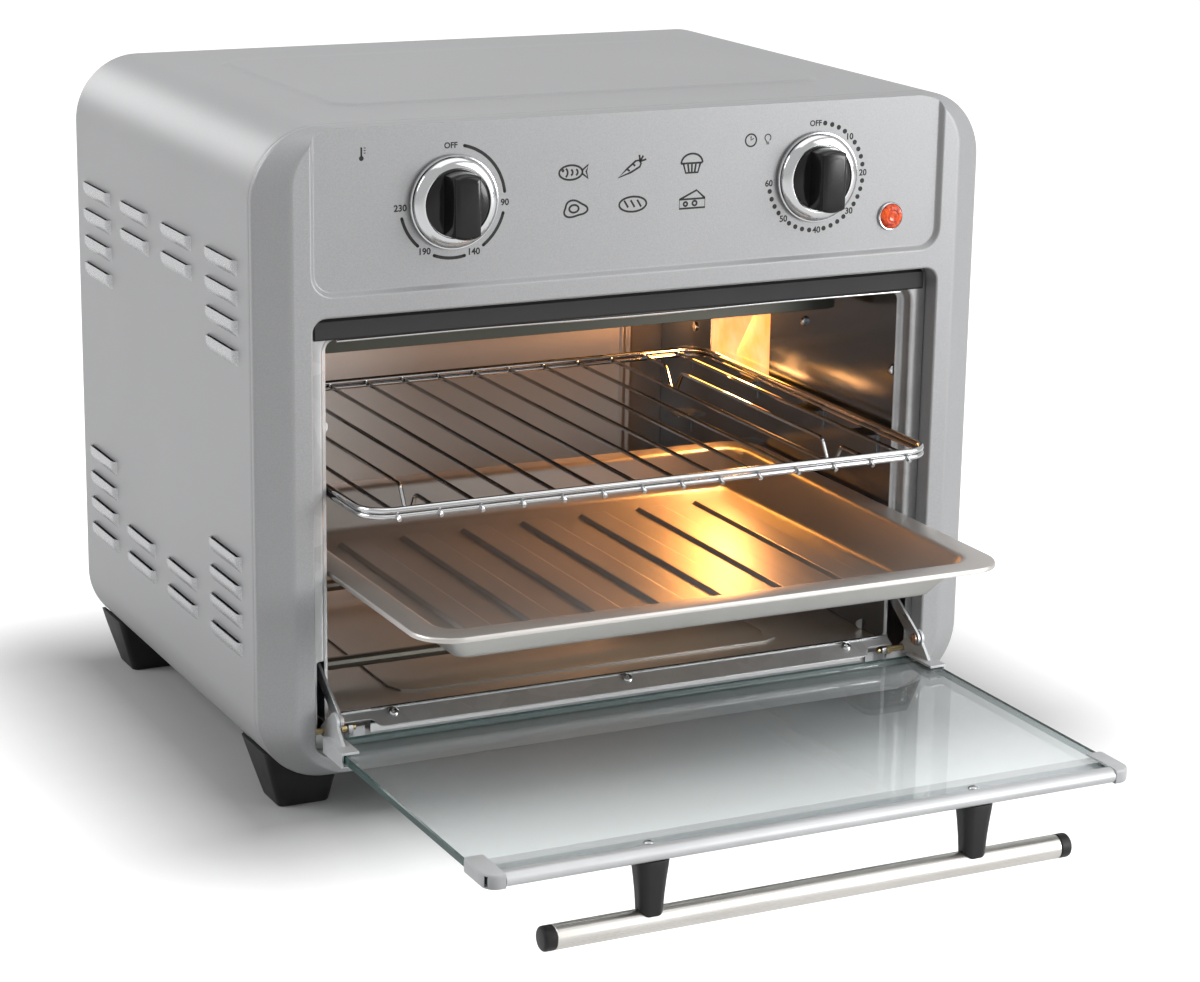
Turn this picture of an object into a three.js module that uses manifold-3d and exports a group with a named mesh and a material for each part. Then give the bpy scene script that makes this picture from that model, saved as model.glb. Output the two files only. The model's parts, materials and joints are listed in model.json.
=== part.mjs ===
// Countertop air fryer oven: a painted steel housing round a steel cavity, a glass door hinged
// along its lower edge, a wire rack, a baking tray, two knobs and a convection fan.
// Millimetres, +Z up, the front faces -Y. The door stands open, with the tray and rack drawn out.
import * as THREE from 'three';
import { mergeVertices } from 'three/addons/utils/BufferGeometryUtils.js';
import Module from 'manifold-3d';

const wasm = await Module();
wasm.setup();

// Driving dimensions
const body_width = 400;
const body_depth = 284;
const body_height = 323;
const foot_height = 20;
const corner_radius = 35;
const cover_sheet = 1;
const frame_sheet = 1;
const liner_sheet = 0.8;
const seat_gap = 0.3;
const running_gap = 0.6;
const pin_clearance = 0.4;
const overrun = 6;
const long_overrun = 24;

// Counts
const corner_steps = 6;
const small_corner_steps = 2;
const rod_sides = 6;
const wire_sides = 4;
const round_steps = 22;
const lamp_steps = 10;
const hole_steps = 10;
const slot_corner_steps = 1;
const bend_steps = 3;
const link_steps = 6;
const bulb_steps = 6;
const coil_steps = 6;
const coil_sides = 4;

// Housing
const half_width = body_width / 2;
const body_bottom = foot_height;
const body_top = body_bottom + body_height;

// Front frame, a stamping with chamfered sides, a sunk control panel and a sunk door recess
const chamfer_width = 16.4;
const chamfer_depth = 9;
const frame_depth = 12;
const face_bottom_rise = 3.5;
const face_top_drop = 1;
const face_corner_radius = 28;
const panel_side_margin = 29;
const panel_height = 78.2;
const panel_recess = 2.5;
const panel_slope = 2.5;
const panel_corner_radius = 9;
const mid_border = 12.5;
const lower_border = 13;
const recess_side_margin = 27.2;
const recess_depth = 10;
const recess_corner_radius = 7;

const panel_half_width = half_width - panel_side_margin;
const panel_bottom = body_top - panel_height;
const recess_half_width = half_width - recess_side_margin;
const recess_top = panel_bottom - mid_border;
const recess_bottom = body_bottom + lower_border;

// Cavity mouth and liner
const mouth_side_margin = 12.8;
const mouth_top_margin = 14.5;
const mouth_bottom_margin = 12.6;
const mouth_corner_radius = 5;
const mouth_step_width = 4;
const mouth_step_depth = 7;
const liner_setback = 1;
const bulge_depth = 20;
const back_space = 18;

const mouth_half_width = recess_half_width - mouth_side_margin;
const mouth_top = recess_top - mouth_top_margin;
const mouth_bottom = recess_bottom + mouth_bottom_margin;
const liner_half_width = mouth_half_width + liner_setback;
const liner_outer = liner_half_width + liner_sheet;
const cavity_floor_z = mouth_bottom - liner_setback;
const cavity_ceiling_z = mouth_top + liner_setback;
const liner_front = recess_depth + mouth_step_depth + liner_sheet + seat_gap;
const cavity_back = body_depth + bulge_depth - back_space;

// Door hinge axis and door
const pivot_rise = 11.2;
const pivot_setback = 3.3;
const pin_radius = 1.6;
const pivot_y = recess_depth - pivot_setback;
const pivot_z = recess_bottom + pivot_rise;
const door_top_gap = 3.1;
const door_reach = recess_top - door_top_gap - pivot_z;
const glass_side_gap = 3.3;
const glass_thickness = 4.5;
const glass_drop = 1.2;
const glass_hinge_gap = 10.2;
const glass_half_width = recess_half_width - glass_side_gap;
const glass_top = pivot_z - glass_drop;
const glass_bottom = glass_top - glass_thickness;
const glass_hinge_y = pivot_y - glass_hinge_gap;
const door_front = pivot_y - door_reach;
const trim_depth = 26.5;
const trim_lip = 6.5;
const trim_sheet = 0.9;
const trim_side_gap = 2.3;
const trim_end_length = 9.5;
const trim_half_width = recess_half_width - trim_side_gap;
const trim_back = door_front + trim_depth;
const trim_top = glass_top + seat_gap + trim_sheet;
const trim_bottom = glass_bottom - seat_gap - trim_sheet;

// Handle
const handle_post_inset = 48;
const handle_radius = 5.9;
const handle_floor_gap = 0.6;
const handle_setback = 8.8;
const handle_tube_length = 268;
const handle_end_length = 6;
const handle_wall = 1.1;
const handle_plug_length = 9;
const post_top_width = 16.5;
const post_bottom_width = 11;
const post_top_depth = 14;
const post_bottom_depth = 9.5;
const post_grip_share = 0.45;
const handle_spread = handle_tube_length / 2 - handle_post_inset;
const handle_y = door_front + handle_setback;
const handle_z = handle_floor_gap + handle_radius;

// Pieces that slide in the cavity, drawn out as far as the named pulls
const rack_level = 118.4;
const rack_pull = 54;
const rack_side_gap = 1.5;
const rack_front_gap = 7.1;
const slide_back_gap = 2;
const rack_rod_radius = 2.1;
const rack_lower_rod_radius = 1.7;
const rack_wire_radius = 1.2;
const rack_wire_count = 14;
const rack_wire_margin = 16.8;
const rack_corner_radius = 14;
const rack_wire_tip = 3;
const notch_inset = 40;
const notch_depth = 11;
const notch_half_length = 11;
const notch_floor_share = 0.25;
const tray_level = 76.9;
const tray_pull = 111;
const tray_front_gap = 2.5;
const tray_side_gap = 1.5;
const tray_height = 20.5;
const tray_rim_width = 14;
const tray_wall_inset = 14;
const tray_sheet = 1.2;
const tray_lip = 2.5;
const tray_corner_radius = 20;
const tray_corner_share = 0.6;
const tray_rib_count = 9;
const tray_rib_width = 13;
const tray_rib_height = 1.8;
const tray_rib_slope = 2.5;

const rack_z = cavity_floor_z + rack_level;
const rack_half_width = mouth_half_width - rack_side_gap;
const rack_wire_pitch = (2 * (rack_half_width - rack_wire_margin)) / (rack_wire_count - 1);
const rack_back = cavity_back - slide_back_gap - rack_pull;
const rack_front = liner_front + rack_front_gap - rack_pull;
const rack_underside = rack_z - 2 * rack_rod_radius - rack_lower_rod_radius;
const tray_rim_z = cavity_floor_z + tray_level;
const tray_half_width = mouth_half_width - tray_side_gap;
const tray_home_front = pivot_y - glass_drop + tray_front_gap;
const tray_front = tray_home_front - tray_pull;
const tray_back = cavity_back - slide_back_gap - tray_pull;
const tray_underside = tray_rim_z - tray_lip;

// Origin: under the middle of the open oven, where it stands
const back_plane = body_depth + seat_gap;
const back_sheet = 1;
const overall_back = back_plane + back_sheet + bulge_depth;
const origin_y = (door_front + overall_back) / 2;

// Basic forms

function plainGeometry(geometry) {
  const plain = geometry.clone();
  for (const name of Object.keys(plain.attributes)) {
    if (name !== 'position') plain.deleteAttribute(name);
  }
  return mergeVertices(plain);
}

function toSolid(shape) {
  if (!shape.isBufferGeometry) return shape;
  const merged = plainGeometry(shape);
  const corners = merged.index.array;
  const kept = [];
  for (let i = 0; i < corners.length; i += 3) {
    const [a, b, c] = [corners[i], corners[i + 1], corners[i + 2]];
    if (a !== b && b !== c && c !== a) kept.push(a, b, c);
  }
  const vertProperties = new Float32Array(merged.attributes.position.array);
  return new wasm.Manifold(new wasm.Mesh({ numProp: 3, vertProperties, triVerts: new Uint32Array(kept) }));
}

function toGeometry(shape) {
  const mesh = toSolid(shape).getMesh();
  const geometry = new THREE.BufferGeometry();
  geometry.setAttribute('position', new THREE.BufferAttribute(new Float32Array(mesh.vertProperties), 3));
  geometry.setIndex(new THREE.BufferAttribute(new Uint32Array(mesh.triVerts), 1));
  geometry.computeVertexNormals();
  return geometry;
}

function join(...shapes) {
  return shapes.map(toSolid).reduce((whole, piece) => whole.add(piece));
}

function cut(base, ...tools) {
  return tools.map(toSolid).reduce((left, tool) => left.subtract(tool), toSolid(base));
}

function meet(first, second) {
  return toSolid(first).intersect(toSolid(second));
}

function block(x0, x1, y0, y1, z0, z1) {
  const geometry = new THREE.BoxGeometry(Math.abs(x1 - x0), Math.abs(y1 - y0), Math.abs(z1 - z0));
  return geometry.translate((x0 + x1) / 2, (y0 + y1) / 2, (z0 + z1) / 2);
}

// A rounded rectangle as a ring of points, anticlockwise in its own plane
function roundedRing(u0, u1, v0, v1, radius, steps) {
  const centres = [
    [u1 - radius, v0 + radius, -Math.PI / 2],
    [u1 - radius, v1 - radius, 0],
    [u0 + radius, v1 - radius, Math.PI / 2],
    [u0 + radius, v0 + radius, Math.PI],
  ];
  const ring = [];
  for (const [u, v, start] of centres) {
    for (let i = 0; i <= steps; i += 1) {
      const angle = start + (i / steps) * (Math.PI / 2);
      ring.push([u + radius * Math.cos(angle), v + radius * Math.sin(angle)]);
    }
  }
  return ring;
}

function circleRing(u, v, radius, steps) {
  const ring = [];
  for (let i = 0; i < steps; i += 1) {
    const angle = (i / steps) * 2 * Math.PI;
    ring.push([u + radius * Math.cos(angle), v + radius * Math.sin(angle)]);
  }
  return ring;
}

// The ring as points in space, at a height along the given axis
function placeRing(ring, axis, height) {
  if (axis === 'x') return ring.map(([u, v]) => new THREE.Vector3(height, u, v));
  if (axis === 'y') return ring.map(([u, v]) => new THREE.Vector3(u, height, v));
  return ring.map(([u, v]) => new THREE.Vector3(u, v, height));
}

// A closed body through rings of equally many points, capped at both ends
function loft(rings) {
  const count = rings[0].length;
  const positions = rings.flat().flatMap((point) => [point.x, point.y, point.z]);
  const faces = [];
  for (let r = 0; r + 1 < rings.length; r += 1) {
    for (let i = 0; i < count; i += 1) {
      const j = (i + 1) % count;
      const [a, b, c, d] = [r * count + i, r * count + j, (r + 1) * count + j, (r + 1) * count + i];
      faces.push(a, b, c, a, c, d);
    }
  }
  const last = (rings.length - 1) * count;
  for (const [first, flip] of [[0, true], [last, false]]) {
    for (const [a, b, c] of capFaces(rings[first / count])) {
      if (flip) faces.push(first + a, first + c, first + b);
      else faces.push(first + a, first + b, first + c);
    }
  }
  const geometry = new THREE.BufferGeometry();
  geometry.setAttribute('position', new THREE.BufferAttribute(new Float32Array(positions), 3));
  geometry.setIndex(faces);
  return signedVolume(geometry) < 0 ? turnedInsideOut(geometry) : geometry;
}

const level_share = 0.9;

function capFaces(ring) {
  const normal = new THREE.Vector3();
  for (let i = 0; i < ring.length; i += 1) {
    normal.add(ring[i].clone().cross(ring[(i + 1) % ring.length]));
  }
  normal.normalize();
  const across = Math.abs(normal.z) < level_share ? new THREE.Vector3(0, 0, 1) : new THREE.Vector3(1, 0, 0);
  const u = across.cross(normal).normalize();
  const v = normal.clone().cross(u);
  const flat = ring.map((point) => new THREE.Vector2(point.dot(u), point.dot(v)));
  return THREE.ShapeUtils.triangulateShape(flat, []);
}

function signedVolume(geometry) {
  const at = geometry.attributes.position;
  const corners = geometry.index.array;
  const [a, b, c] = [new THREE.Vector3(), new THREE.Vector3(), new THREE.Vector3()];
  let total = 0;
  for (let i = 0; i < corners.length; i += 3) {
    a.fromBufferAttribute(at, corners[i]);
    b.fromBufferAttribute(at, corners[i + 1]);
    c.fromBufferAttribute(at, corners[i + 2]);
    total += a.dot(b.cross(c));
  }
  return total;
}

function turnedInsideOut(geometry) {
  const corners = Array.from(geometry.index.array);
  for (let i = 0; i < corners.length; i += 3) {
    [corners[i + 1], corners[i + 2]] = [corners[i + 2], corners[i + 1]];
  }
  geometry.setIndex(corners);
  return geometry;
}

// A straight prism of a ring between two heights along an axis
function prism(ring, axis, from, to) {
  return loft([placeRing(ring, axis, from), placeRing(ring, axis, to)]);
}

function rod(axis, u, v, radius, from, to, steps = hole_steps) {
  return prism(circleRing(u, v, radius, steps), axis, from, to);
}

// A turned piece on the Z axis, from [radius, height] pairs that start and end on the axis
function turned(pairs, steps = round_steps) {
  return toSolid(new THREE.LatheGeometry(pairs.map(([r, h]) => new THREE.Vector2(r, h)), steps)
    .rotateX(Math.PI / 2));
}

// A round bar through points that lie in one plane, whose normal is given
function bar(points, radius, sides, planeNormal, closed = false) {
  const rings = points.map((point, i) => {
    const before = points[closed ? (i + points.length - 1) % points.length : Math.max(i - 1, 0)];
    const after = points[closed ? (i + 1) % points.length : Math.min(i + 1, points.length - 1)];
    const tangent = after.clone().sub(before).normalize();
    const side = tangent.clone().cross(planeNormal).normalize();
    const ring = [];
    for (let s = 0; s < sides; s += 1) {
      const angle = ((s + 0.5) / sides) * 2 * Math.PI;
      ring.push(point.clone()
        .addScaledVector(side, radius * Math.cos(angle))
        .addScaledVector(planeNormal, radius * Math.sin(angle)));
    }
    return ring;
  });
  if (!closed) return loft(rings);
  const geometry = loft([...rings, rings[0]]);
  return openCapsRemoved(geometry, rings.length, sides);
}

// Joins the two ends of a closed bar by leaving out their caps
function openCapsRemoved(geometry, ringCount, sides) {
  const sideFaces = ringCount * sides * 6;
  geometry.setIndex(Array.from(geometry.index.array).slice(0, sideFaces));
  return plainGeometry(geometry);
}

// A polyline with its inner corners rounded
function filleted(points, radius, steps) {
  const path = [points[0]];
  for (let i = 1; i + 1 < points.length; i += 1) {
    const back = points[i - 1].clone().sub(points[i]).normalize();
    const on = points[i + 1].clone().sub(points[i]).normalize();
    const start = points[i].clone().addScaledVector(back, radius);
    const end = points[i].clone().addScaledVector(on, radius);
    const bend = new THREE.QuadraticBezierCurve3(start, points[i], end);
    path.push(...bend.getPoints(steps));
  }
  path.push(points[points.length - 1]);
  return path;
}

// The outline round two circles of a flat link
function linkRing(u0, v0, radius0, u1, v1, radius1, steps) {
  const direction = Math.atan2(v1 - v0, u1 - u0);
  const length = Math.hypot(u1 - u0, v1 - v0);
  const lean = Math.acos((radius0 - radius1) / length);
  const ring = [];
  for (let i = 0; i <= steps; i += 1) {
    const angle = direction - lean + (i / steps) * 2 * lean;
    ring.push([u1 + radius1 * Math.cos(angle), v1 + radius1 * Math.sin(angle)]);
  }
  for (let i = 0; i <= steps; i += 1) {
    const angle = direction + lean + (i / steps) * (2 * Math.PI - 2 * lean);
    ring.push([u0 + radius0 * Math.cos(angle), v0 + radius0 * Math.sin(angle)]);
  }
  return ring;
}

function mirrored(shape) {
  const geometry = plainGeometry(shape.isBufferGeometry ? shape : toGeometry(shape));
  geometry.scale(-1, 1, 1);
  return turnedInsideOut(geometry);
}

// Materials

function paint(color, roughness, metalness) {
  return () => new THREE.MeshStandardMaterial({ color, roughness, metalness });
}

const silver_paint = paint(0xb4b5b8, 0.45, 0.35);
const galvanised = paint(0xa2a3a3, 0.4, 0.8);
const liner_steel = paint(0x8c8782, 0.42, 0.8);
const dark_steel = paint(0x55524c, 0.5, 0.7);
const chrome = paint(0xe2e3e5, 0.12, 1);
const brushed_steel = paint(0xc9c7c2, 0.3, 1);
const zinc = paint(0xb9bbbd, 0.35, 0.9);
const brass = paint(0xb08a45, 0.35, 0.9);
const black_plastic = paint(0x1b1b1c, 0.5, 0);
const gloss_black = paint(0x101012, 0.15, 0);
const black_rubber = paint(0x232427, 0.8, 0);
const trim_metal = paint(0xd4d6d8, 0.35, 0.5);
const tray_metal = paint(0xb3b1ae, 0.35, 0.85);
const lamp_red = paint(0xd0301c, 0.2, 0);
const ceramic = paint(0xe9e2d2, 0.6, 0);
const grey_plastic = paint(0xc8c8c6, 0.5, 0);
const clear_glass = () => new THREE.MeshStandardMaterial({
  color: 0xa9cfc6, roughness: 0.05, metalness: 0, transparent: true, opacity: 0.35,
});

const oven = new THREE.Group();
const assembly = new THREE.Group();
assembly.position.set(0, -origin_y, 0);
oven.add(assembly);

function addPart(name, shape, material, parent = assembly) {
  const mesh = new THREE.Mesh(toGeometry(shape), material());
  mesh.name = name;
  parent.add(mesh);
  return mesh;
}

// Outer cover

const bottom_hem = 42;
const emboss_height = 1;
const emboss_side_margin = 62;
const emboss_front = 60;
const emboss_back_margin = 47;
const emboss_radius = 14;
const emboss_slope = 3;
const louvre_length = 43.3;
const louvre_rise = 3;
const louvre_drop = 8.2;
const louvre_pitch = 14.6;
const louvre_slit = 0.4;
const louvre_rows = 4;
const louvre_middle_rows = 2;
const louvre_end_share = 0.78;
const louvre_shoulder_shares = [0.72, 0.55];
const louvre_end_scale_share = 0.3;
const louvre_back_margins = [15.1, 78.6, 145, 212];
const louvre_top_drop = 65.3;
const louvre_lower_rise = 110.9;
const cover_front = frame_depth + seat_gap;

function coverRing(inset) {
  const radius = corner_radius - inset;
  return roundedRing(-half_width + inset, half_width - inset, body_bottom + inset, body_top - inset,
    radius, corner_steps);
}

// A pressed hood on the +X side: full at its upper slit, falling back into the sheet below it
function louvreHood(y, z, inset) {
  const rise = louvre_rise - inset;
  const drop = louvre_drop - inset;
  const half = louvre_length / 2 - inset;
  const [shoulder_out, shoulder_down] = louvre_shoulder_shares;
  const root = half_width - cover_sheet - (inset > 0 ? overrun : 0);
  const face = half_width;
  const lip = inset > 0 ? z + louvre_slit : z;
  const full = [-louvre_end_share, louvre_end_share];
  const stations = inset > 0 ? full : [-1, ...full, 1];
  const rings = stations.map((share) => {
    const scale = Math.abs(share) === 1 ? louvre_end_scale_share : 1;
    const outline = [
      [root, lip],
      [face + rise * scale, lip],
      [face + rise * scale * shoulder_out, z - drop * scale * shoulder_down],
      [face - inset, z - drop * scale],
      [root, z - drop * scale],
    ];
    if (inset > 0) outline.splice(2, 1);
    return outline.map(([x, up]) => new THREE.Vector3(x, y + share * half, up));
  });
  return loft(rings);
}

function louvrePlaces() {
  const places = [];
  louvre_back_margins.forEach((margin, column) => {
    const y = body_depth - margin - louvre_length / 2;
    const outer = column === 0 || column === louvre_back_margins.length - 1;
    for (let row = 0; row < louvre_rows; row += 1) {
      const upper = body_top - louvre_top_drop - row * louvre_pitch;
      const lower = body_bottom + louvre_lower_rise - row * louvre_pitch;
      if (outer || row < louvre_middle_rows) places.push([y, upper]);
      if (outer || row >= louvre_rows - louvre_middle_rows) places.push([y, lower]);
    }
  });
  return places;
}

function outerCover() {
  const shell = cut(
    prism(coverRing(0), 'y', cover_front, body_depth),
    prism(coverRing(cover_sheet), 'y', cover_front - overrun, body_depth + overrun),
    block(-half_width + bottom_hem, half_width - bottom_hem, cover_front - overrun, body_depth + overrun,
      body_bottom - overrun, body_bottom + cover_sheet + overrun),
  );
  const embossRing = (inset) => roundedRing(-half_width + emboss_side_margin + inset,
    half_width - emboss_side_margin - inset, emboss_front + inset,
    body_depth - emboss_back_margin - inset, emboss_radius, small_corner_steps + 1);
  const raised = loft([
    placeRing(embossRing(0), 'z', body_top - cover_sheet / 2),
    placeRing(embossRing(0), 'z', body_top),
    placeRing(embossRing(emboss_slope), 'z', body_top + emboss_height),
  ]);
  const hollow = loft([
    placeRing(embossRing(cover_sheet), 'z', body_top - cover_sheet - overrun),
    placeRing(embossRing(cover_sheet), 'z', body_top - cover_sheet),
    placeRing(embossRing(cover_sheet + emboss_slope), 'z', body_top + emboss_height - cover_sheet),
  ]);
  let cover = join(shell, raised).subtract(toSolid(hollow));
  for (const [y, z] of louvrePlaces()) {
    const hood = louvreHood(y, z, 0);
    const inside = louvreHood(y, z, cover_sheet);
    cover = cover.add(toSolid(hood)).add(toSolid(mirrored(hood)));
    cover = cover.subtract(toSolid(inside)).subtract(toSolid(mirrored(inside)));
  }
  return cover;
}

addPart('outer_cover', outerCover(), silver_paint);

// Front frame

const knob_side_margin = 100;
const knob_drop = 39;
const spindle_hole_radius = 5;
const lamp_side_margin = 55.5;
const lamp_drop = 62;
const lamp_hole_radius = 6.2;
const knob_spread = half_width - knob_side_margin;
const knob_z = body_top - knob_drop;
const lamp_x = half_width - lamp_side_margin;
const lamp_z = body_top - lamp_drop;

function frontFrame() {
  const rimRing = (inset) => roundedRing(-half_width + inset, half_width - inset, body_bottom + inset,
    body_top - inset, corner_radius - inset, corner_steps);
  const faceRing = (inset) => roundedRing(-half_width + chamfer_width + inset,
    half_width - chamfer_width - inset, body_bottom + face_bottom_rise + inset,
    body_top - face_top_drop - inset, face_corner_radius - inset, corner_steps);
  const outside = loft([
    placeRing(rimRing(0), 'y', frame_depth),
    placeRing(rimRing(0), 'y', chamfer_depth),
    placeRing(faceRing(0), 'y', 0),
  ]);
  const inside = loft([
    placeRing(rimRing(frame_sheet), 'y', frame_depth + overrun),
    placeRing(rimRing(frame_sheet), 'y', chamfer_depth + frame_sheet),
    placeRing(faceRing(frame_sheet), 'y', frame_sheet),
  ]);
  const recessRing = (inset) => roundedRing(-recess_half_width + inset, recess_half_width - inset,
    recess_bottom + inset, recess_top - inset, recess_corner_radius - inset, small_corner_steps);
  const recessWall = prism(recessRing(-frame_sheet), 'y', frame_sheet / 2, recess_depth + liner_sheet);
  const recessHole = prism(recessRing(0), 'y', -overrun, recess_depth + overrun);
  const panelRing = (grow) => roundedRing(-panel_half_width - grow, panel_half_width + grow,
    panel_bottom - grow, body_top + long_overrun, panel_corner_radius + grow, small_corner_steps);
  const panelBack = meet(outside, prism(panelRing(panel_slope + frame_sheet), 'y', 0,
    panel_recess + frame_sheet));
  const panelCut = loft([
    placeRing(panelRing(panel_slope * 2), 'y', -panel_recess),
    placeRing(panelRing(panel_slope), 'y', 0),
    placeRing(panelRing(0), 'y', panel_recess),
  ]);
  const holes = [
    rod('y', -knob_spread, knob_z, spindle_hole_radius, 0, frame_depth),
    rod('y', knob_spread, knob_z, spindle_hole_radius, 0, frame_depth),
    rod('y', lamp_x, lamp_z, lamp_hole_radius, 0, frame_depth),
  ];
  return cut(join(cut(outside, inside), panelBack, recessWall), recessHole, panelCut, ...holes);
}

addPart('front_frame', frontFrame(), silver_paint);

// Bottom plate, between the hems of the cover

const bottom_sheet = 1;
const bottom_slot_count = 7;
const bottom_slot_length = 60;
const bottom_slot_width = 5;
const bottom_slot_pitch = 28;
const bottom_flat_margin = 6;

function bottomPlate() {
  const low = body_bottom + cover_sheet + seat_gap;
  const half = half_width - corner_radius - bottom_flat_margin;
  const plate = block(-half, half, cover_front + overrun, body_depth - seat_gap, low, low + bottom_sheet);
  const slots = [];
  for (let i = 0; i < bottom_slot_count; i += 1) {
    const x = (i - (bottom_slot_count - 1) / 2) * bottom_slot_pitch;
    const middle = body_depth / 2;
    slots.push(prism(roundedRing(x - bottom_slot_width / 2, x + bottom_slot_width / 2,
      middle - bottom_slot_length / 2, middle + bottom_slot_length / 2, bottom_slot_width / 4,
      slot_corner_steps), 'z', low - overrun, low + overrun));
  }
  return cut(plate, ...slots);
}

addPart('bottom_plate', bottomPlate(), galvanised);

// Back panel with a pressed-out bulge behind the cavity

const back_inset = 1.2;
const bulge_side_margin = 32;
const bulge_bottom_rise = 12;
const bulge_top_drop = 90;
const bulge_slope = 9;
const bulge_radius = 16;
const vent_length = 34;
const vent_width = 4;
const vent_pitch_x = 46;
const vent_pitch_z = 11;
const vent_columns = 6;
const vent_rows = 3;
const vent_drop = 52;
const gland_side_margin = 16;
const gland_rise = 45;
const gland_radius = 8;
const gland_body_radius = 5;
const gland_bore_radius = 3.6;
const gland_flange = 2.5;
const gland_length = 9;
const gland_x = half_width - gland_side_margin;
const gland_z = body_bottom + gland_rise;

function backPanel() {
  const plate = prism(roundedRing(-half_width + back_inset, half_width - back_inset,
    body_bottom + back_inset, body_top - back_inset, corner_radius - back_inset, corner_steps),
  'y', back_plane, back_plane + back_sheet);
  const bulgeRing = (inset) => roundedRing(-half_width + bulge_side_margin + inset,
    half_width - bulge_side_margin - inset, body_bottom + bulge_bottom_rise + inset,
    body_top - bulge_top_drop - inset, bulge_radius - inset / 2, small_corner_steps + 1);
  const outside = loft([
    placeRing(bulgeRing(0), 'y', back_plane),
    placeRing(bulgeRing(0), 'y', back_plane + back_sheet),
    placeRing(bulgeRing(bulge_slope), 'y', overall_back),
  ]);
  const inside = loft([
    placeRing(bulgeRing(back_sheet), 'y', back_plane - overrun),
    placeRing(bulgeRing(back_sheet), 'y', back_plane),
    placeRing(bulgeRing(back_sheet + bulge_slope), 'y', overall_back - back_sheet),
  ]);
  const vents = [];
  for (let column = 0; column < vent_columns; column += 1) {
    for (let row = 0; row < vent_rows; row += 1) {
      const x = (column - (vent_columns - 1) / 2) * vent_pitch_x;
      const z = body_top - vent_drop - (row - (vent_rows - 1) / 2) * vent_pitch_z;
      vents.push(block(x - vent_length / 2, x + vent_length / 2, back_plane - overrun,
        back_plane + back_sheet + overrun, z - vent_width / 2, z + vent_width / 2));
    }
  }
  const glandHole = rod('y', gland_x, gland_z, gland_body_radius + seat_gap, back_plane - overrun,
    back_plane + back_sheet + overrun);
  return cut(join(plate, outside), inside, glandHole, ...vents);
}

function cordGland() {
  const outer_face = back_plane + back_sheet + seat_gap;
  const flange = rod('y', gland_x, gland_z, gland_radius, outer_face, outer_face + gland_flange,
    round_steps / 2);
  const neck = rod('y', gland_x, gland_z, gland_body_radius, outer_face + gland_flange - gland_length,
    outer_face + gland_flange / 2, hole_steps);
  const bore = rod('y', gland_x, gland_z, gland_bore_radius, outer_face - gland_length - overrun,
    outer_face + gland_flange + overrun, hole_steps);
  return cut(join(flange, neck), bore);
}

addPart('back_panel', backPanel(), galvanised);
addPart('cord_gland', cordGland(), black_rubber);

// Feet, tapered blocks whose tops follow the cover's lower corners

const foot_inner_margin = 43.4;
const foot_outer_margin = 16.2;
const foot_front_setback = 24.5;
const foot_back_margin = 1.6;
const foot_length = 25;
const foot_flare_in = 6;
const foot_flare_out = 9;
const foot_flare_along = 6;
const foot_top_rise = 11;
const foot_edge_radius = 3;

function foot(side, front) {
  const outer = half_width - foot_outer_margin;
  const inner = half_width - foot_inner_margin;
  const sole = roundedRing(inner, outer, front, front + foot_length, foot_edge_radius, small_corner_steps);
  const crown = roundedRing(inner - foot_flare_in, outer + foot_flare_out, front - foot_flare_along,
    front + foot_length + foot_flare_along, foot_edge_radius, small_corner_steps);
  const body = loft([
    placeRing(sole, 'z', 0),
    placeRing(crown, 'z', foot_height + foot_top_rise),
  ]);
  const housing = prism(coverRing(-seat_gap), 'y', -overrun, body_depth + long_overrun);
  const behind = block(inner - long_overrun, outer + long_overrun, body_depth, body_depth + long_overrun,
    -overrun, foot_height + foot_top_rise + overrun);
  const right = cut(body, housing, behind);
  return side > 0 ? right : mirrored(right);
}

const foot_back_start = body_depth - foot_back_margin - foot_length;
for (const [side, side_name] of [[-1, 'left'], [1, 'right']]) {
  addPart(`foot_front_${side_name}`, foot(side, foot_front_setback), black_plastic);
  addPart(`foot_back_${side_name}`, foot(side, foot_back_start), black_plastic);
}

// Cavity mouth: a stepped flange behind the door recess, slotted for the hinge links

const slot_inner = 2.3;
const slot_width = 6.4;
const slot_bottom_drop = 1.7;
const slot_top_rise = 34.8;

function cavityFlange() {
  const outerRing = roundedRing(-recess_half_width + seat_gap, recess_half_width - seat_gap,
    recess_bottom + seat_gap, recess_top - seat_gap, recess_corner_radius - seat_gap, small_corner_steps);
  const mouthRing = (grow) => roundedRing(-mouth_half_width - grow, mouth_half_width + grow,
    mouth_bottom - grow, mouth_top + grow, mouth_corner_radius + grow, small_corner_steps);
  const step_back = recess_depth + mouth_step_depth;
  const plate = prism(outerRing, 'y', recess_depth, recess_depth + liner_sheet);
  const neck = prism(mouthRing(mouth_step_width + liner_sheet), 'y', recess_depth,
    step_back + liner_sheet);
  const step = prism(mouthRing(mouth_step_width), 'y', recess_depth - overrun, step_back);
  const mouth = prism(mouthRing(0), 'y', recess_depth - overrun, step_back + overrun);
  const slots = [-1, 1].map((side) => block(side * (mouth_half_width + slot_inner),
    side * (mouth_half_width + slot_inner + slot_width), recess_depth - overrun, step_back + overrun,
    pivot_z - slot_bottom_drop, pivot_z + slot_top_rise));
  return cut(join(plate, neck), step, mouth, ...slots);
}

addPart('cavity_flange', cavityFlange(), galvanised);

// Cavity liner

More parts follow.
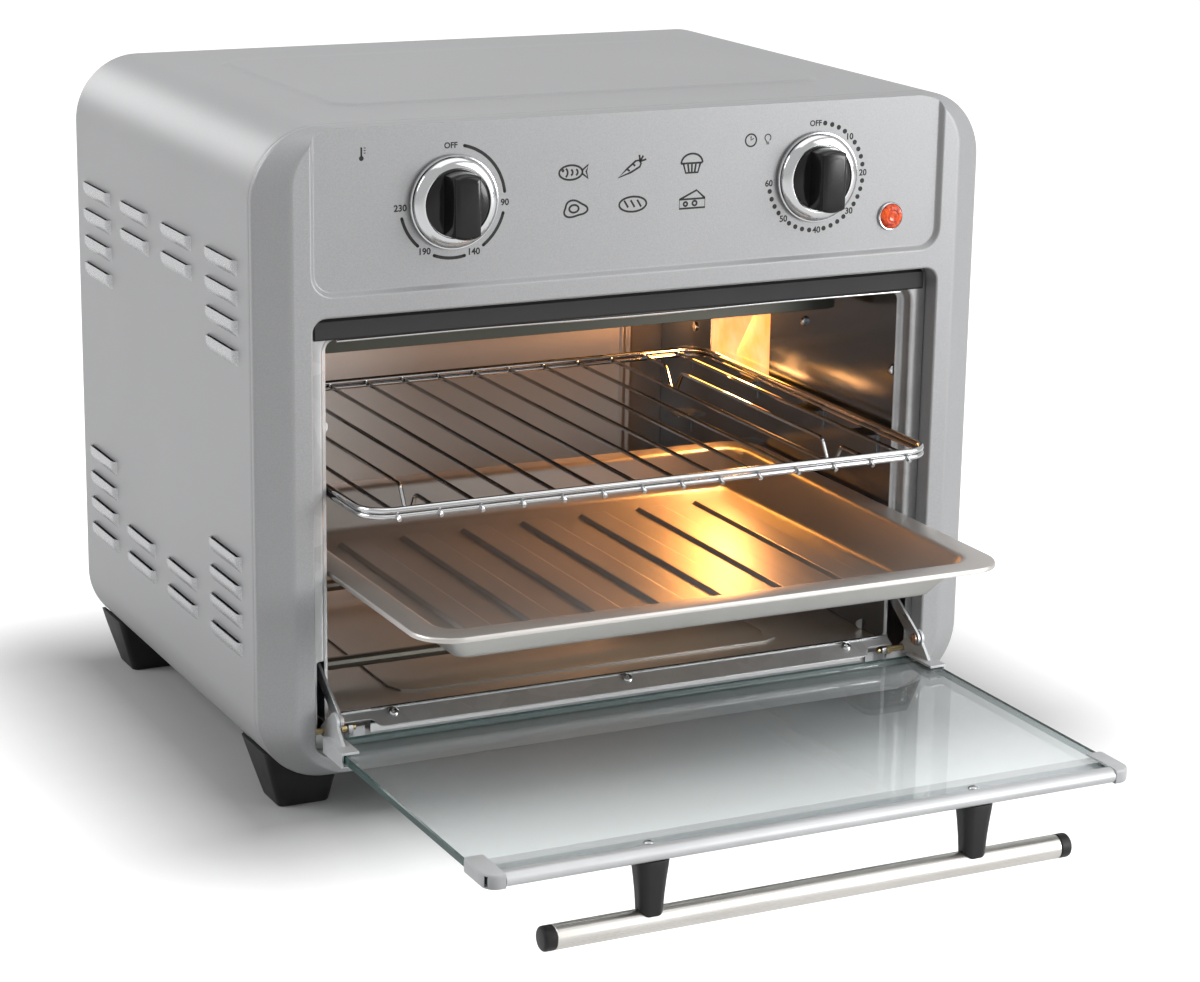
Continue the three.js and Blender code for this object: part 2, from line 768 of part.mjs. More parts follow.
const tab_reach = 9;
const tab_width = 17;
const tab_thickness = 1;
const tab_height = 9;
const tab_setback_shares = [0.082, 0.3, 0.58, 0.877];
const lamp_window_share = 0.504;
const lamp_window_length = 70;
const lamp_window_height = 40;
const lamp_window_rise = 118;
const element_radius = 3.3;
const element_rise = 9;
const element_front_share = 0.2165;
const element_back_share = 0.6943;
const spring_radius = 4.2;
const spring_wire_radius = 0.8;
const spring_length = 70;
const spring_hook_gap = 4;
const spring_turns = 7;
const spring_offset = 10.4;
const anchor_radius = 1.5;
const link_reach_y = 43.6;
const link_reach_z = 28.3;
const rivet_reach = 15.2;
const rivet_rise = 9.8;

const liner_depth = cavity_back - liner_front;
const rivet_y = pivot_y - rivet_reach;
const rivet_z = pivot_z + rivet_rise;
const link_end_y = rivet_y + link_reach_y;
const link_end_z = rivet_z + link_reach_z;
const spring_x = liner_outer + spring_offset;
const spring_front = link_end_y + spring_hook_gap;
const spring_back = spring_front + spring_length;
const anchor_y = spring_back + spring_wire_radius + anchor_radius + seat_gap;
const element_z = cavity_floor_z + element_rise;
const element_front_y = liner_front + liner_depth * element_front_share;
const element_back_y = liner_front + liner_depth * element_back_share;
const window_front = liner_front + liner_depth * lamp_window_share;
const window_bottom = cavity_floor_z + lamp_window_rise;

// A lanced tab: a bent tongue that a sliding piece rests on
function supportTab(y, top) {
  const outline = [
    [liner_half_width + liner_sheet / 2, top - tab_thickness - tab_height],
    [liner_half_width + liner_sheet / 2, top],
    [liner_half_width - tab_reach, top],
    [liner_half_width - tab_reach, top - tab_thickness],
    [liner_half_width - tab_thickness, top - tab_thickness],
    [liner_half_width - tab_thickness, top - tab_thickness - tab_height],
  ];
  return loft([y - tab_width / 2, y + tab_width / 2].map((along) => (
    outline.map(([x, z]) => new THREE.Vector3(x, along, z))
  )));
}

function rightWall(with_window) {
  const wall = block(liner_half_width, liner_outer, liner_front, cavity_back - seat_gap,
    cavity_floor_z + seat_gap, cavity_ceiling_z - seat_gap);
  const pieces = [wall];
  for (const share of tab_setback_shares) {
    const y = liner_front + liner_depth * share;
    pieces.push(supportTab(y, rack_underside - seat_gap));
    pieces.push(supportTab(y, tray_underside - seat_gap));
  }
  pieces.push(rod('x', anchor_y, link_end_z, anchor_radius, liner_outer - liner_sheet / 2,
    spring_x + spring_radius));
  const holes = [element_front_y, element_back_y].map((y) => rod('x', y, element_z,
    element_radius + seat_gap, liner_half_width - tab_reach, liner_outer + overrun));
  if (with_window) {
    holes.push(block(liner_half_width - overrun / 2, liner_outer + overrun, window_front,
      window_front + lamp_window_length, window_bottom, window_bottom + lamp_window_height));
  }
  return cut(join(...pieces), ...holes);
}

addPart('cavity_right_wall', rightWall(true), liner_steel);
addPart('cavity_left_wall', mirrored(rightWall(false)), liner_steel);

const back_rib_x = 108;
const back_rib_half_width = 6;
const back_rib_height = 1.2;
const back_rib_rise = 12.6;
const back_rib_drop = 29;
const upper_element_spread = 26;
const upper_element_drop = 9;
const upper_element_z = cavity_ceiling_z - upper_element_drop;

function cavityBackWall() {
  const wall = block(-liner_outer, liner_outer, cavity_back, cavity_back + liner_sheet,
    cavity_floor_z - liner_sheet, cavity_ceiling_z + liner_sheet);
  const ribs = [-1, 1].map((side) => block(side * back_rib_x - back_rib_half_width,
    side * back_rib_x + back_rib_half_width, cavity_back - back_rib_height, cavity_back + liner_sheet / 2,
    cavity_floor_z + back_rib_rise, cavity_ceiling_z - back_rib_drop));
  const holes = [-1, 1].map((side) => rod('y', side * upper_element_spread, upper_element_z,
    element_radius + seat_gap, cavity_back - overrun, cavity_back + overrun));
  return cut(join(wall, ...ribs), ...holes);
}

addPart('cavity_back_wall', cavityBackWall(), liner_steel);

const fan_well_radius = 76;
const fan_y = (liner_front + cavity_back) / 2;
const floor_rib_inset = 48;
const floor_rib_end_inset = 24;
const floor_rib_radius = 12;
const floor_rib_height = 1;
const floor_rib_width = 5;

function cavityCeiling() {
  const plate = block(-liner_outer, liner_outer, liner_front, cavity_back - seat_gap, cavity_ceiling_z,
    cavity_ceiling_z + liner_sheet);
  const well = turned([[0, -overrun], [fan_well_radius, -overrun], [fan_well_radius, overrun], [0, overrun]])
    .translate([0, fan_y, cavity_ceiling_z]);
  return cut(plate, well);
}

function cavityFloor() {
  const plate = block(-liner_outer, liner_outer, liner_front, cavity_back - seat_gap,
    cavity_floor_z - liner_sheet, cavity_floor_z);
  const ribRing = (inset) => roundedRing(-liner_half_width + floor_rib_inset + inset,
    liner_half_width - floor_rib_inset - inset, liner_front + floor_rib_end_inset + inset,
    cavity_back - floor_rib_end_inset - inset, floor_rib_radius, small_corner_steps);
  const rib = cut(
    prism(ribRing(0), 'z', cavity_floor_z - liner_sheet / 2, cavity_floor_z + floor_rib_height),
    prism(ribRing(floor_rib_width), 'z', cavity_floor_z - overrun, cavity_floor_z + overrun),
  );
  return join(plate, rib);
}

addPart('cavity_ceiling', cavityCeiling(), liner_steel);
addPart('cavity_floor', cavityFloor(), liner_steel);

// Door seal strip along the top of the recess, and the sill plate over the hinge line

const seal_side_gap = 3.5;
const seal_height = 10.3;
const seal_top_gap = 2;
const seal_thickness = 2.5;
const seal_lip = 1;

function doorSeal() {
  const half = recess_half_width - seal_side_gap;
  const top = recess_top - seal_top_gap;
  const back = recess_depth - seat_gap;
  const outline = [
    [back, top - seal_height],
    [back, top],
    [back - seal_thickness, top - seal_lip],
    [back - seal_thickness, top - seal_height + seal_lip],
    [back - seal_thickness + seal_lip, top - seal_height],
  ];
  return loft([-half, half].map((x) => outline.map(([y, z]) => new THREE.Vector3(x, y, z))));
}

addPart('door_seal', doorSeal(), black_rubber);

const sill_sheet = 1;
const sill_reach = 8.6;
const sill_front_rise = 0.4;
const sill_back_rise = 7;
const sill_leg = 2.8;
const sill_foot_drop = 2.4;
const sill_side_margin = 3;
const sill_notch = 16;
const sill_notch_reach = 3.2;

function sillPlate() {
  const half = mouth_half_width - sill_side_margin;
  const front = pivot_y - sill_reach;
  const back = recess_depth - seat_gap;
  const low = pivot_z + sill_front_rise;
  const high = pivot_z + sill_back_rise;
  const leg_end = high - sill_sheet - sill_leg;
  const foot_end = mouth_bottom - mouth_step_width - sill_foot_drop;
  const outline = [
    [front, low],
    [back - sill_sheet, high - sill_sheet],
    [back - sill_sheet, foot_end],
    [back, foot_end],
    [back, high],
    [front, low + sill_sheet],
  ];
  const strip = loft([-half, half].map((x) => outline.map(([y, z]) => new THREE.Vector3(x, y, z))));
  const notches = [-1, 1].map((side) => block(side * (half - sill_notch), side * (half + overrun),
    front - overrun, pivot_y - sill_notch_reach, low - overrun, high + overrun));
  const mount_cuts = [-1, 1].map((side) => block(side * (half - sill_notch), side * (half + overrun),
    back - sill_sheet - seat_gap, back + overrun, foot_end - overrun, leg_end));
  return cut(strip, ...notches, ...mount_cuts);
}

addPart('sill_plate', sillPlate(), galvanised);

// Hinge mounts and pins on the housing

const eye_radius = 2.9;
const eye_thickness = 2.4;
const eye_margin = 8;
const mount_leg = 8;
const mount_sheet = 1;
const mount_drop = 8.2;
const pin_end_gap = 0.5;
const collar_radius = 2.5;
const collar_length = 3;
const collar_margin = 2;
const pin_tail = 2;
const eye_inner = mouth_half_width - eye_margin;

function hingeMount(side) {
  const back = recess_depth - seat_gap;
  const eye = rod('x', pivot_y, pivot_z, eye_radius, eye_inner, eye_inner + eye_thickness);
  const web = block(eye_inner, eye_inner + eye_thickness, pivot_y - eye_radius, back,
    pivot_z - mount_drop, pivot_z);
  const leg = block(eye_inner - mount_leg, eye_inner + eye_thickness, back - mount_sheet, back,
    pivot_z - mount_drop, pivot_z - mount_sheet);
  const bore = rod('x', pivot_y, pivot_z, pin_radius + seat_gap, eye_inner - overrun,
    eye_inner + eye_thickness + overrun);
  const right = cut(join(eye, web, leg), bore);
  return side > 0 ? right : mirrored(right);
}

function hingePin(side) {
  const shaft = rod('x', pivot_y, pivot_z, pin_radius, eye_inner - pin_tail,
    recess_half_width - pin_end_gap);
  const collar_start = mouth_half_width - collar_margin;
  const collar = rod('x', pivot_y, pivot_z, collar_radius, collar_start - collar_length, collar_start);
  const right = join(shaft, collar);
  return side > 0 ? right : mirrored(right);
}

// Door hinge brackets: a channel round the glass edge with an ear for the pin and the link's rivet

const ear_sheet = 1.6;
const ear_setback = 5.6;
const ear_boss_radius = 3;
const ear_rivet_radius = 4.5;
const channel_sheet = 1.3;
const channel_length = 25;
const channel_lip = 8;
const channel_gap = 0.3;
const rivet_radius = 2;
const rivet_head_radius = 3;
const rivet_head = 0.5;
const link_sheet = 1.6;
const link_setback = 3.6;
const link_rivet_end_radius = 4;
const link_spring_end_radius = 3.2;

const ear_inner = mouth_half_width + ear_setback;
const link_inner = mouth_half_width + link_setback;

function hingeBracket(side) {
  const ear = prism(linkRing(pivot_y, pivot_z, ear_boss_radius, rivet_y, rivet_z, ear_rivet_radius,
    link_steps), 'x',
    ear_inner, ear_inner + ear_sheet);
  const channel_front = glass_hinge_y - channel_length;
  const outer = glass_half_width + channel_gap;
  const top = glass_top + channel_gap;
  const bottom = glass_bottom - channel_gap;
  const web = block(outer, outer + channel_sheet, channel_front, glass_hinge_y,
    bottom - channel_sheet, top + channel_sheet);
  const upper = block(outer - channel_lip, outer + channel_sheet, channel_front, glass_hinge_y,
    top, top + channel_sheet);
  const lower = block(outer - channel_lip, outer + channel_sheet, channel_front, glass_hinge_y,
    bottom - channel_sheet, bottom);
  const gusset = loft([ear_inner, ear_inner + ear_sheet].map((x) => [
    [channel_front + channel_lip, top + channel_sheet / 2],
    [pivot_y - ear_boss_radius, pivot_z - ear_boss_radius / 2],
    [pivot_y, pivot_z + ear_boss_radius / 2],
    [rivet_y, rivet_z + ear_rivet_radius / 2],
    [rivet_y - ear_rivet_radius / 2, rivet_z],
  ].map(([y, z]) => new THREE.Vector3(x, y, z))));
  const clear_of_glass = block(ear_inner - overrun, ear_inner + overrun, channel_front - overrun,
    glass_hinge_y + channel_gap, bottom - overrun, top);
  const rivet = rod('x', rivet_y, rivet_z, rivet_radius, link_inner - seat_gap - rivet_head,
    ear_inner + ear_sheet / 2);
  const head = rod('x', rivet_y, rivet_z, rivet_head_radius, link_inner - seat_gap - rivet_head,
    link_inner - seat_gap);
  const bore = rod('x', pivot_y, pivot_z, pin_radius + pin_clearance, ear_inner - overrun,
    ear_inner + overrun);
  const right = join(cut(join(ear, gusset), clear_of_glass), web, upper, lower, rivet, head)
    .subtract(toSolid(bore));
  return side > 0 ? right : mirrored(right);
}

function hingeLink(side) {
  const plate = prism(linkRing(rivet_y, rivet_z, link_rivet_end_radius, link_end_y, link_end_z,
    link_spring_end_radius, link_steps), 'x', link_inner, link_inner + link_sheet);
  const stud = rod('x', link_end_y, link_end_z, anchor_radius, link_inner + link_sheet / 2,
    spring_x + spring_radius);
  const bore = rod('x', rivet_y, rivet_z, rivet_radius + pin_clearance, link_inner - overrun,
    link_inner + link_sheet + overrun);
  const right = cut(join(plate, stud), bore);
  return side > 0 ? right : mirrored(right);
}

// A closed-wound tension spring beside each link
function hingeSpring(side) {
  const steps = spring_turns * coil_steps;
  const points = [];
  for (let i = 0; i <= steps; i += 1) {
    const share = i / steps;
    const angle = share * spring_turns * 2 * Math.PI;
    points.push(new THREE.Vector3(spring_x + spring_radius * Math.cos(angle),
      spring_front + share * spring_length, link_end_z + spring_radius * Math.sin(angle)));
  }
  const right = bar(points, spring_wire_radius, coil_sides, new THREE.Vector3(0, 1, 0));
  return side > 0 ? right : mirrored(right);
}

for (const [side, side_name] of [[-1, 'left'], [1, 'right']]) {
  addPart(`hinge_mount_${side_name}`, hingeMount(side), zinc);
  addPart(`hinge_pin_${side_name}`, hingePin(side), brass);
  addPart(`hinge_bracket_${side_name}`, hingeBracket(side), trim_metal);
  addPart(`hinge_link_${side_name}`, hingeLink(side), zinc);
  addPart(`hinge_spring_${side_name}`, hingeSpring(side), zinc);
}

// Heating elements and the slotted guard under the ceiling

const guard_side_margin = 10;
const guard_front_setback = 42;
const guard_back_gap = 22;
const guard_depth = 17.5;
const guard_radius = 8;
const guard_slot_count = 9;
const guard_slot_rows = 2;
const guard_slot_width = 5;
const guard_slot_pitch = 29;
const guard_slot_gap = 14;

const guard_top = cavity_ceiling_z - seat_gap;
const guard_bottom = guard_top - guard_depth;
const guard_front = liner_front + guard_front_setback;
const guard_back = cavity_back - guard_back_gap;

function upperGuard() {
  const half = liner_half_width - guard_side_margin;
  const ring = (inset) => roundedRing(-half + inset, half - inset, guard_front + inset,
    guard_back - inset, guard_radius - inset, small_corner_steps);
  const pan = cut(
    prism(ring(0), 'z', guard_bottom, guard_top),
    prism(ring(liner_sheet), 'z', guard_bottom + liner_sheet, guard_top + overrun),
  );
  const cuts = [];
  const row_length = (guard_back - guard_front - (guard_slot_rows + 1) * guard_slot_gap) / guard_slot_rows;
  for (let column = 0; column < guard_slot_count; column += 1) {
    const x = (column - (guard_slot_count - 1) / 2) * guard_slot_pitch;
    for (let row = 0; row < guard_slot_rows; row += 1) {
      const y = guard_front + guard_slot_gap + row * (row_length + guard_slot_gap);
      cuts.push(block(x - guard_slot_width / 2, x + guard_slot_width / 2, y, y + row_length,
        guard_bottom - overrun, guard_bottom + overrun / 2));
    }
  }
  for (const side of [-1, 1]) {
    cuts.push(rod('y', side * upper_element_spread, upper_element_z, element_radius + seat_gap,
      guard_back - overrun, guard_back + overrun));
  }
  return cut(pan, ...cuts);
}

addPart('upper_guard', upperGuard(), dark_steel);

const upper_loop_margin = 26;
const upper_loop_front = 30;
const upper_loop_back = 26;
const upper_loop_bend = 14;
const element_tail = 7;
const element_collar_wall = 0.8;

function upperElement() {
  const side_x = liner_half_width - guard_side_margin - upper_loop_margin;
  const front = guard_front + upper_loop_front;
  const back = guard_back - upper_loop_back;
  const end = cavity_back + element_tail;
  const at = (x, y) => new THREE.Vector3(x, y, upper_element_z);
  const path = filleted([
    at(-upper_element_spread, end), at(-upper_element_spread, back), at(-side_x, back),
    at(-side_x, front), at(side_x, front), at(side_x, back), at(upper_element_spread, back),
    at(upper_element_spread, end),
  ], upper_loop_bend, bend_steps);
  return bar(path, element_radius, rod_sides, new THREE.Vector3(0, 0, 1));
}

function lowerElement(y) {
  const end = liner_outer + element_tail;
  const collar = element_radius + element_collar_wall;
  const tube = rod('x', y, element_z, element_radius, -end, end);
  const ends = [-1, 1].map((side) => rod('x', y, element_z, collar, side * (liner_outer + seat_gap),
    side * (liner_outer + element_tail)));
  return join(tube, ...ends);
}

addPart('upper_element', upperElement(), dark_steel);
addPart('lower_element_front', lowerElement(element_front_y), dark_steel);
addPart('lower_element_back', lowerElement(element_back_y), dark_steel);

// Convection fan above the ceiling

const fan_wall = 1;
const fan_flange = 10;
const fan_housing_height = 32;
const fan_shaft_radius = 3;
const fan_radius = 60;
const fan_hub_radius = 13;
const fan_blade_count = 10;
const fan_blade_height = 17;
const fan_blade_thickness = 1.2;
const fan_blade_lean = 0.35;
const fan_base_gap = 6;
const motor_radius = 31;
const motor_height = 42;
const motor_boss_radius = 14;
const motor_boss_height = 5;
const motor_bore_depth = 16;
const motor_ear_reach = 12;
const motor_ear_width = 10;

const fan_base = cavity_ceiling_z + liner_sheet + seat_gap;
const fan_top = fan_base + fan_housing_height;

function fanHousing() {
  const inner = fan_well_radius;
  return turned([
    [fan_shaft_radius + running_gap, fan_top - fan_wall],
    [inner, fan_top - fan_wall],
    [inner, fan_base],
    [inner + fan_flange, fan_base],
    [inner + fan_flange, fan_base + fan_wall],
    [inner + fan_wall, fan_base + fan_wall],
    [inner + fan_wall, fan_top],
    [fan_shaft_radius + running_gap, fan_top],
    [fan_shaft_radius + running_gap, fan_top - fan_wall],
  ]);
}

function fanImpeller() {
  const low = fan_base + fan_base_gap;
  const high = low + fan_blade_height;
  const hub = turned([[0, low], [fan_hub_radius, low], [fan_hub_radius, high], [fan_radius, high],
    [fan_radius, high + fan_blade_thickness], [fan_shaft_radius, high + fan_blade_thickness],
    [fan_shaft_radius, fan_top + motor_bore_depth - running_gap],
    [0, fan_top + motor_bore_depth - running_gap]]);
  const blades = [];
  for (let i = 0; i < fan_blade_count; i += 1) {
    const blade = block(0, fan_radius - fan_hub_radius, -fan_blade_thickness / 2,
      fan_blade_thickness / 2, low, high + fan_blade_thickness / 2)
      .rotateZ(fan_blade_lean)
      .translate(fan_hub_radius - fan_blade_thickness * 2, 0, 0)
      .rotateZ((i / fan_blade_count) * 2 * Math.PI);
    blades.push(blade);
  }
  const rim = turned([[0, low - overrun], [fan_radius, low - overrun], [fan_radius, fan_top + long_overrun],
    [0, fan_top + long_overrun]]);
  return meet(join(hub, ...blades), rim);
}

function fanMotor() {
  const low = fan_top + seat_gap;
  const can = turned([
    [0, low + motor_boss_height],
    [motor_radius, low + motor_boss_height],
    [motor_radius, low + motor_height],
    [0, low + motor_height],
  ], round_steps / 2);
  const boss = turned([[0, low], [motor_boss_radius, low], [motor_boss_radius, low + motor_boss_height * 2],
    [0, low + motor_boss_height * 2]], round_steps / 2);
  const bore = turned([[0, low - overrun], [fan_shaft_radius + running_gap, low - overrun],
    [fan_shaft_radius + running_gap, fan_top + motor_bore_depth],
    [0, fan_top + motor_bore_depth]], hole_steps);
  const ears = block(-motor_radius - motor_ear_reach, motor_radius + motor_ear_reach, -motor_ear_width / 2,
    motor_ear_width / 2, low + motor_boss_height, low + motor_boss_height * 2);
  return cut(join(can, boss, ears), bore);
}

const fan = new THREE.Group();
fan.position.set(0, fan_y, 0);
assembly.add(fan);
addPart('fan_housing', fanHousing(), galvanised, fan);
addPart('fan_impeller', fanImpeller(), zinc, fan);
addPart('fan_motor', fanMotor(), dark_steel, fan);

// Oven lamp behind its window in the right wall

const lamp_glass_margin = 4;
const lamp_glass_thickness = 2;
const lamp_box_wall = 1;
const lamp_box_depth = 24;
const bulb_radius = 11;
const bulb_neck_radius = 6.5;
const bulb_length = 34;
const bulb_round_share = 0.78;
const socket_radius = 10;
const socket_length = 14;

const lamp_box_inner = liner_outer + seat_gap * 2 + lamp_glass_thickness;
const lamp_mid_y = window_front + lamp_window_length / 2;
const lamp_mid_z = window_bottom + lamp_window_height / 2;

function lampGlass() {
  return block(liner_outer + seat_gap, liner_outer + seat_gap + lamp_glass_thickness,
    window_front - lamp_glass_margin, window_front + lamp_window_length + lamp_glass_margin,
    window_bottom - lamp_glass_margin, window_bottom + lamp_window_height + lamp_glass_margin);
}

function lampHousing() {
  const outside = block(lamp_box_inner, lamp_box_inner + lamp_box_depth,
    window_front - lamp_glass_margin, window_front + lamp_window_length + lamp_glass_margin,
    window_bottom - lamp_glass_margin, window_bottom + lamp_window_height + lamp_glass_margin);
  const inset = lamp_glass_margin - lamp_box_wall;
  const inside = block(lamp_box_inner - overrun, lamp_box_inner + lamp_box_depth - lamp_box_wall,
    window_front - inset, window_front + lamp_window_length + inset,
    window_bottom - inset, window_bottom + lamp_window_height + inset);
  const socket_hole = rod('y', lamp_box_inner + lamp_box_depth / 2, lamp_mid_z,
    bulb_neck_radius + seat_gap, window_front + lamp_window_length, window_front + lamp_window_length
    + lamp_glass_margin + overrun, hole_steps);
  return cut(outside, inside, socket_hole);
}

// Glass envelope and ceramic socket on one axis along Y
function lampBulb() {
  const neck = bulb_neck_radius;
  const round = [];
  for (let i = 0; i <= bulb_steps; i += 1) {
    const angle = (i / bulb_steps) * Math.PI * bulb_round_share;
    round.push([bulb_radius * Math.sin(angle), -bulb_radius * Math.cos(angle)]);
  }
  return turned([...round, [neck, bulb_length - bulb_radius], [0, bulb_length - bulb_radius]], lamp_steps)
    .rotate([-90, 0, 0]);
}

function lampSocket() {
  const start = bulb_length - bulb_radius + seat_gap;
  const shoulder = start + socket_length / 2;
  const end = start + socket_length;
  return turned([[0, start], [bulb_neck_radius - seat_gap, start], [bulb_neck_radius - seat_gap, shoulder],
    [socket_radius, shoulder], [socket_radius, end], [0, end]], lamp_steps).rotate([-90, 0, 0]);
}

addPart('lamp_glass', lampGlass(), clear_glass);
addPart('lamp_housing', lampHousing(), galvanised);
const lamp = new THREE.Group();
const lamp_start = window_front + lamp_window_length + lamp_glass_margin + seat_gap
  - (bulb_length - bulb_radius + seat_gap + socket_length / 2);
lamp.position.set(lamp_box_inner + lamp_box_depth / 2, lamp_start, lamp_mid_z);
assembly.add(lamp);
addPart('lamp_bulb', lampBulb(), clear_glass, lamp);
addPart('lamp_socket', lampSocket(), ceramic, lamp);

// Controls: a thermostat and a timer behind the panel, each turned by a knob on a spindle

const switch_gap = 0.3;
const thermostat_width = 36;
const thermostat_height = 30;
const thermostat_depth = 24;
const timer_radius = 27;
const timer_depth = 34;
const bush_radius = 4.4;
const spindle_radius = 3;
const spindle_out = 13;
const spindle_in = 12;
const knob_radius = 16;
const knob_base_depth = 5;
const grip_length = 33;
const grip_width = 15;
const grip_tip_width = 12.5;
const grip_depth = 19;
const grip_radius = 3;
const ring_outer_radius = 23;
const ring_depth = 6;
const ring_lip = 2.2;
const knob_panel_gap = 0.6;
const panel_back = panel_recess + frame_sheet;

// Local frame: Y along the spindle, with 0 on the panel's face and the front at -Y
function alongSpindle(shape) {
  return toSolid(shape).rotate([90, 0, 0]);
}

function thermostat() {
  const start = panel_back - panel_recess + switch_gap;
  const body = block(-thermostat_width / 2, thermostat_width / 2, start, start + thermostat_depth,
    -thermostat_height / 2, thermostat_height / 2);
  const bush = rod('y', 0, 0, bush_radius, switch_gap, start + switch_gap);
  const bore = rod('y', 0, 0, spindle_radius + seat_gap, -overrun, spindle_in + seat_gap);
  return cut(join(body, bush), bore);
}

function timer() {
  const start = panel_back - panel_recess + switch_gap;
  const body = rod('y', 0, 0, timer_radius, start, start + timer_depth, round_steps / 2);
  const bush = rod('y', 0, 0, bush_radius, switch_gap, start + switch_gap);
  const bore = rod('y', 0, 0, spindle_radius + seat_gap, -overrun, spindle_in + seat_gap);
  return cut(join(body, bush), bore);
}

function spindle() {
  return rod('y', 0, 0, spindle_radius, -spindle_out, spindle_in);
}

function knobRing() {
  const near = knob_panel_gap;
  const inner = knob_radius + seat_gap;
  return alongSpindle(turned([
    [inner, near],
    [ring_outer_radius, near],
    [ring_outer_radius, near + ring_depth / 3],
    [ring_outer_radius - ring_lip, near + ring_depth],
    [inner, near + ring_depth],
    [inner, near],
  ]));
}

function knobGrip() {
  const near = knob_panel_gap;
  const base = turned([[0, near], [knob_radius, near], [knob_radius, near + knob_base_depth],
    [knob_radius - ring_lip, near + knob_base_depth + ring_lip], [0, near + knob_base_depth + ring_lip]]);
  const half = grip_length / 2;
  const ring = (width, length) => roundedRing(-width / 2, width / 2, -length, length, grip_radius,
    small_corner_steps);
  const grip = loft([
    placeRing(ring(grip_width, half), 'z', near + ring_depth + seat_gap),
    placeRing(ring(grip_width, half), 'z', near + ring_depth + (grip_depth - ring_depth) / 2),
    placeRing(ring(grip_tip_width, half - grip_radius), 'z', near + grip_depth),
  ]);
  const stem = turned([[0, near + knob_base_depth], [knob_radius - ring_lip, near + knob_base_depth],
    [knob_radius - 2 * ring_lip, near + ring_depth + 2 * ring_lip], [0, near + ring_depth + 2 * ring_lip]]);
  const bore = rod('y', 0, 0, spindle_radius + seat_gap, -spindle_out - seat_gap, overrun);
  return cut(alongSpindle(join(base, stem, grip)), bore);
}

for (const [side, name, switchBody, switchMaterial] of [
  [-1, 'temperature', thermostat(), ceramic], [1, 'timer', timer(), grey_plastic],
]) {
  const control = new THREE.Group();
  control.position.set(side * knob_spread, panel_recess, knob_z);
  assembly.add(control);
  addPart(name === 'timer' ? 'timer' : 'thermostat', switchBody, switchMaterial, control);
  addPart(`${name}_spindle`, spindle(), zinc, control);
  addPart(`${name}_knob_ring`, knobRing(), chrome, control);
  addPart(`${name}_knob`, knobGrip(), gloss_black, control);
}

// Power lamp in the panel

const bezel_radius = 7.4;
const bezel_depth = 1.6;
const lens_radius = 6.2;
const lens_front = 3.2;
const lens_back = 14;
const lens_dome_share = 0.75;

function powerBezel() {
  return alongSpindle(turned([
    [lens_radius + seat_gap, seat_gap], [bezel_radius, seat_gap],
    [bezel_radius - bezel_depth / 2, seat_gap + bezel_depth],
    [lens_radius + seat_gap, seat_gap + bezel_depth],
    [lens_radius + seat_gap, seat_gap],
  ], round_steps / 2));
}

function powerLens() {
  return alongSpindle(turned([
    [0, -lens_back], [lens_radius - seat_gap, -lens_back], [lens_radius - seat_gap, 0],
    [lens_radius, seat_gap], [lens_radius, bezel_depth],
    [lens_radius * lens_dome_share, lens_front], [0, lens_front],
  ], round_steps / 2));
}

const power_lamp = new THREE.Group();
power_lamp.position.set(lamp_x, panel_recess, lamp_z);
assembly.add(power_lamp);
addPart('power_lamp_bezel', powerBezel(), trim_metal, power_lamp);
addPart('power_lamp_lens', powerLens(), lamp_red, power_lamp);

// Wire rack: two stacked perimeter rods and crosswires, two of them notched to stop the rack

function rackLoop(z, radius) {
  const ring = roundedRing(-rack_half_width + radius, rack_half_width - radius, rack_front + radius,
    rack_back - radius, rack_corner_radius, small_corner_steps + 1);
  return bar(placeRing(ring, 'z', z), radius, rod_sides, new THREE.Vector3(0, 0, 1), true);
}

function rackWire(x, notched) {
  const z = rack_z - rack_rod_radius;
  const at = (y, down) => new THREE.Vector3(x, y, z - down);
  const notch = (y) => [
    at(y - notch_half_length, 0), at(y - notch_half_length * notch_floor_share, notch_depth),
    at(y + notch_half_length * notch_floor_share, notch_depth), at(y + notch_half_length, 0),
  ];
  const path = [at(rack_front - rack_wire_tip, rack_wire_tip), at(rack_front + rack_rod_radius, 0)];
  if (notched) path.push(...notch(rack_front + notch_inset), ...notch(rack_back - notch_inset));
  path.push(at(rack_back - rack_rod_radius, 0));
  return bar(path, rack_wire_radius, wire_sides, new THREE.Vector3(1, 0, 0));
}

function wireRack() {
  const lower_z = rack_z - rack_rod_radius - rack_lower_rod_radius;
  const pieces = [rackLoop(rack_z, rack_rod_radius), rackLoop(lower_z, rack_lower_rod_radius)];
  for (let i = 0; i < rack_wire_count; i += 1) {
    const x = (i - (rack_wire_count - 1) / 2) * rack_wire_pitch;
    pieces.push(rackWire(x, i === 1 || i === rack_wire_count - 2));
  }
  return join(...pieces);
}

addPart('wire_rack', wireRack(), chrome);

// Baking tray: a pressed pan with a flared rim and a ribbed floor

